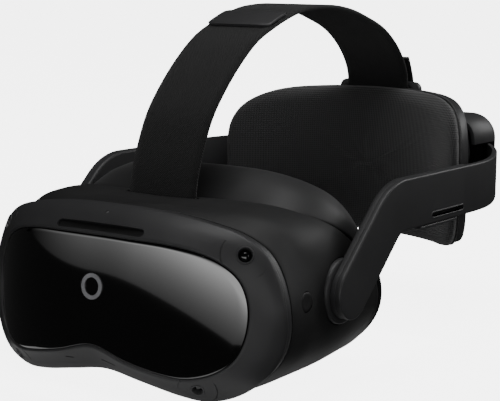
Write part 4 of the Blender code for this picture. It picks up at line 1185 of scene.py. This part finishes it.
def panel_glow(azimuth, elevation):
    """How bright the softbox is: it fades down to its lower edge and out to its far end."""
    above = elevation - panel_edge(azimuth)
    along = min(1.0, max(0.0, (azimuth + 75) / 45))
    top = min(1.0, max(0.0, (SOFTBOX_TOP - elevation) / 7))
    return min(1.0, 0.108 * math.exp(0.165 * above)) * along * top


def softbox():
    """A long curved softbox in front: a sheet round the visor whose slanting lower edge and fall-off
    are what the window mirrors. Its brightness is a value on its points."""
    columns, rows, radius = 66, 30, 2.2
    points, faces, glow = [], [], []
    for column in range(columns + 1):
        azimuth = -78 + 132 * column / columns
        low = panel_edge(azimuth)
        for row in range(rows + 1):
            elevation = low + (SOFTBOX_TOP - low) * row / rows
            points.append(place((0, 0, 0)) + radius * bearing(azimuth, elevation))
            glow.append(panel_glow(azimuth, elevation))
    for column in range(columns):
        for row in range(rows):
            low = column * (rows + 1) + row
            faces.append((low, low + 1, low + rows + 2, low + rows + 1))
    mesh = bpy.data.meshes.new("softbox")
    mesh.from_pydata(points, [], faces)
    layer = mesh.attributes.new("glow", "FLOAT", "POINT")
    layer.data.foreach_set("value", glow)
    cloth = bpy.data.materials.new("softbox_cloth")
    cloth.use_nodes = True
    tree = cloth.node_tree
    tree.nodes.clear()
    value = node(tree, "ShaderNodeAttribute", attribute_name="glow")
    power = node(tree, "ShaderNodeMath", {0: value.outputs["Fac"]}, operation="MULTIPLY")
    power.inputs[1].default_value = SOFTBOX_POWER
    shine = node(tree, "ShaderNodeEmission", {"Strength": power.outputs[0]})
    node(tree, "ShaderNodeOutputMaterial", {"Surface": shine.outputs[0]})
    stage_sheet("softbox", mesh, cloth)


def reflector():
    """A white card lying under the visor, which lifts the undersides; the camera does not see it."""
    mesh = bpy.data.meshes.new("reflector")
    corners = [place((x, y, 0)) for x, y in ((-90, -22), (90, -22), (90, 200), (-90, 200))]
    mesh.from_pydata([(p.x, p.y, MM) for p in corners], [], [(0, 1, 2, 3)])
    paint = finish("white_card", "#f4f4f4", 0.9, Emission_Color=(1, 1, 1, 1),
                   Emission_Strength=CARD_POWER)[0]
    stage_sheet("reflector", mesh, paint)


def studio():
    """A pale floor under a white backdrop, soft lamps, the front softbox and the card.

    The backdrop is bright to the camera only. What shines on the headset, and what it mirrors, is dim.
    """
    reach = 15.0
    mesh = bpy.data.meshes.new("floor")
    corners = ((-reach, -reach), (reach, -reach), (reach, reach), (-reach, reach))
    mesh.from_pydata([(x, y, 0) for x, y in corners], [], [(0, 1, 2, 3)])
    ground = bpy.data.objects.new("floor", mesh)
    ground.location.z = -0.0002
    ground.visible_glossy = False
    ground.visible_diffuse = False
    bpy.context.scene.collection.objects.link(ground)
    mesh.materials.append(finish("pale_floor", "#f2f2f2", 0.95, Emission_Color=(1, 1, 1, 1),
                                 Emission_Strength=BACKDROP, Specular_IOR_Level=0.1)[0])
    world = bpy.data.worlds.new("studio")
    bpy.context.scene.world = world
    world.use_nodes = True
    tree = world.node_tree
    surround = tree.nodes["Background"]
    surround.inputs["Color"].default_value = (1, 1, 1, 1)
    surround.inputs["Strength"].default_value = SURROUND
    backdrop = node(tree, "ShaderNodeBackground", Color=(1, 1, 1, 1), Strength=BACKDROP)
    dark = node(tree, "ShaderNodeBackground", Color=(1, 1, 1, 1), Strength=MIRRORED)
    path = node(tree, "ShaderNodeLightPath")
    inner = node(tree, "ShaderNodeMixShader", {"Fac": path.outputs["Is Glossy Ray"]})
    tree.links.new(surround.outputs[0], inner.inputs[1])
    tree.links.new(dark.outputs[0], inner.inputs[2])
    both = node(tree, "ShaderNodeMixShader", {"Fac": path.outputs["Is Camera Ray"]})
    tree.links.new(inner.outputs[0], both.inputs[1])
    tree.links.new(backdrop.outputs[0], both.inputs[2])
    tree.links.new(both.outputs[0], tree.nodes["World Output"].inputs["Surface"])
    middle = sum((Vector(c) for c in cad_box), Vector()) / 2
    for name, (offset, size, power) in LAMPS.items():
        lamp = bpy.data.lights.new(name, "AREA")
        lamp.energy, lamp.size = power, size
        obj = bpy.data.objects.new(name, lamp)
        obj.location = middle + Vector(offset)
        obj.rotation_euler = (middle - obj.location).to_track_quat("-Z", "Y").to_euler()
        bpy.context.scene.collection.objects.link(obj)
    softbox()
    reflector()


def camera():
    """The camera stands to the wearer's left of the front, a little above the visor."""
    lens = bpy.data.cameras.new("camera")
    lens.sensor_width = 36.0
    lens.lens = 108.8
    lens.shift_x, lens.shift_y = 0.0168, 0.0085
    lens.clip_start, lens.clip_end = 0.01, 20
    obj = bpy.data.objects.new("camera", lens)
    back = bearing(35.26, 9.06)
    turn = (-back).to_track_quat("-Z", "Y").to_matrix() @ Matrix.Rotation(math.radians(0.44), 3, "Z")
    obj.matrix_world = Matrix.Translation(place((485.05, -557.46, 166.12))) @ turn.to_4x4()
    bpy.context.scene.collection.objects.link(obj)
    bpy.context.scene.camera = obj


def main():
    camera()
    studio()
    plain_nodes()
    outline = on_window(whole([(x, 0, z) for x, z in WINDOW]))
    seam = whole(SEAM)
    front_window(outline)
    bezel = front_bezel(outline, seam)
    camera_sets(bezel)
    bezel_details(bezel)
    shade(bezel, 40)
    shell = trim_and_shell(seam)
    shell_openings(shell)
    pivots(shell)
    shade(shell, 40)
    arms()
    rear_carrier(rear_pad())
    rear_housing()
    fit_dial()
    strap_bracket()
    face_cushion()
    straps()
    tab()


main()
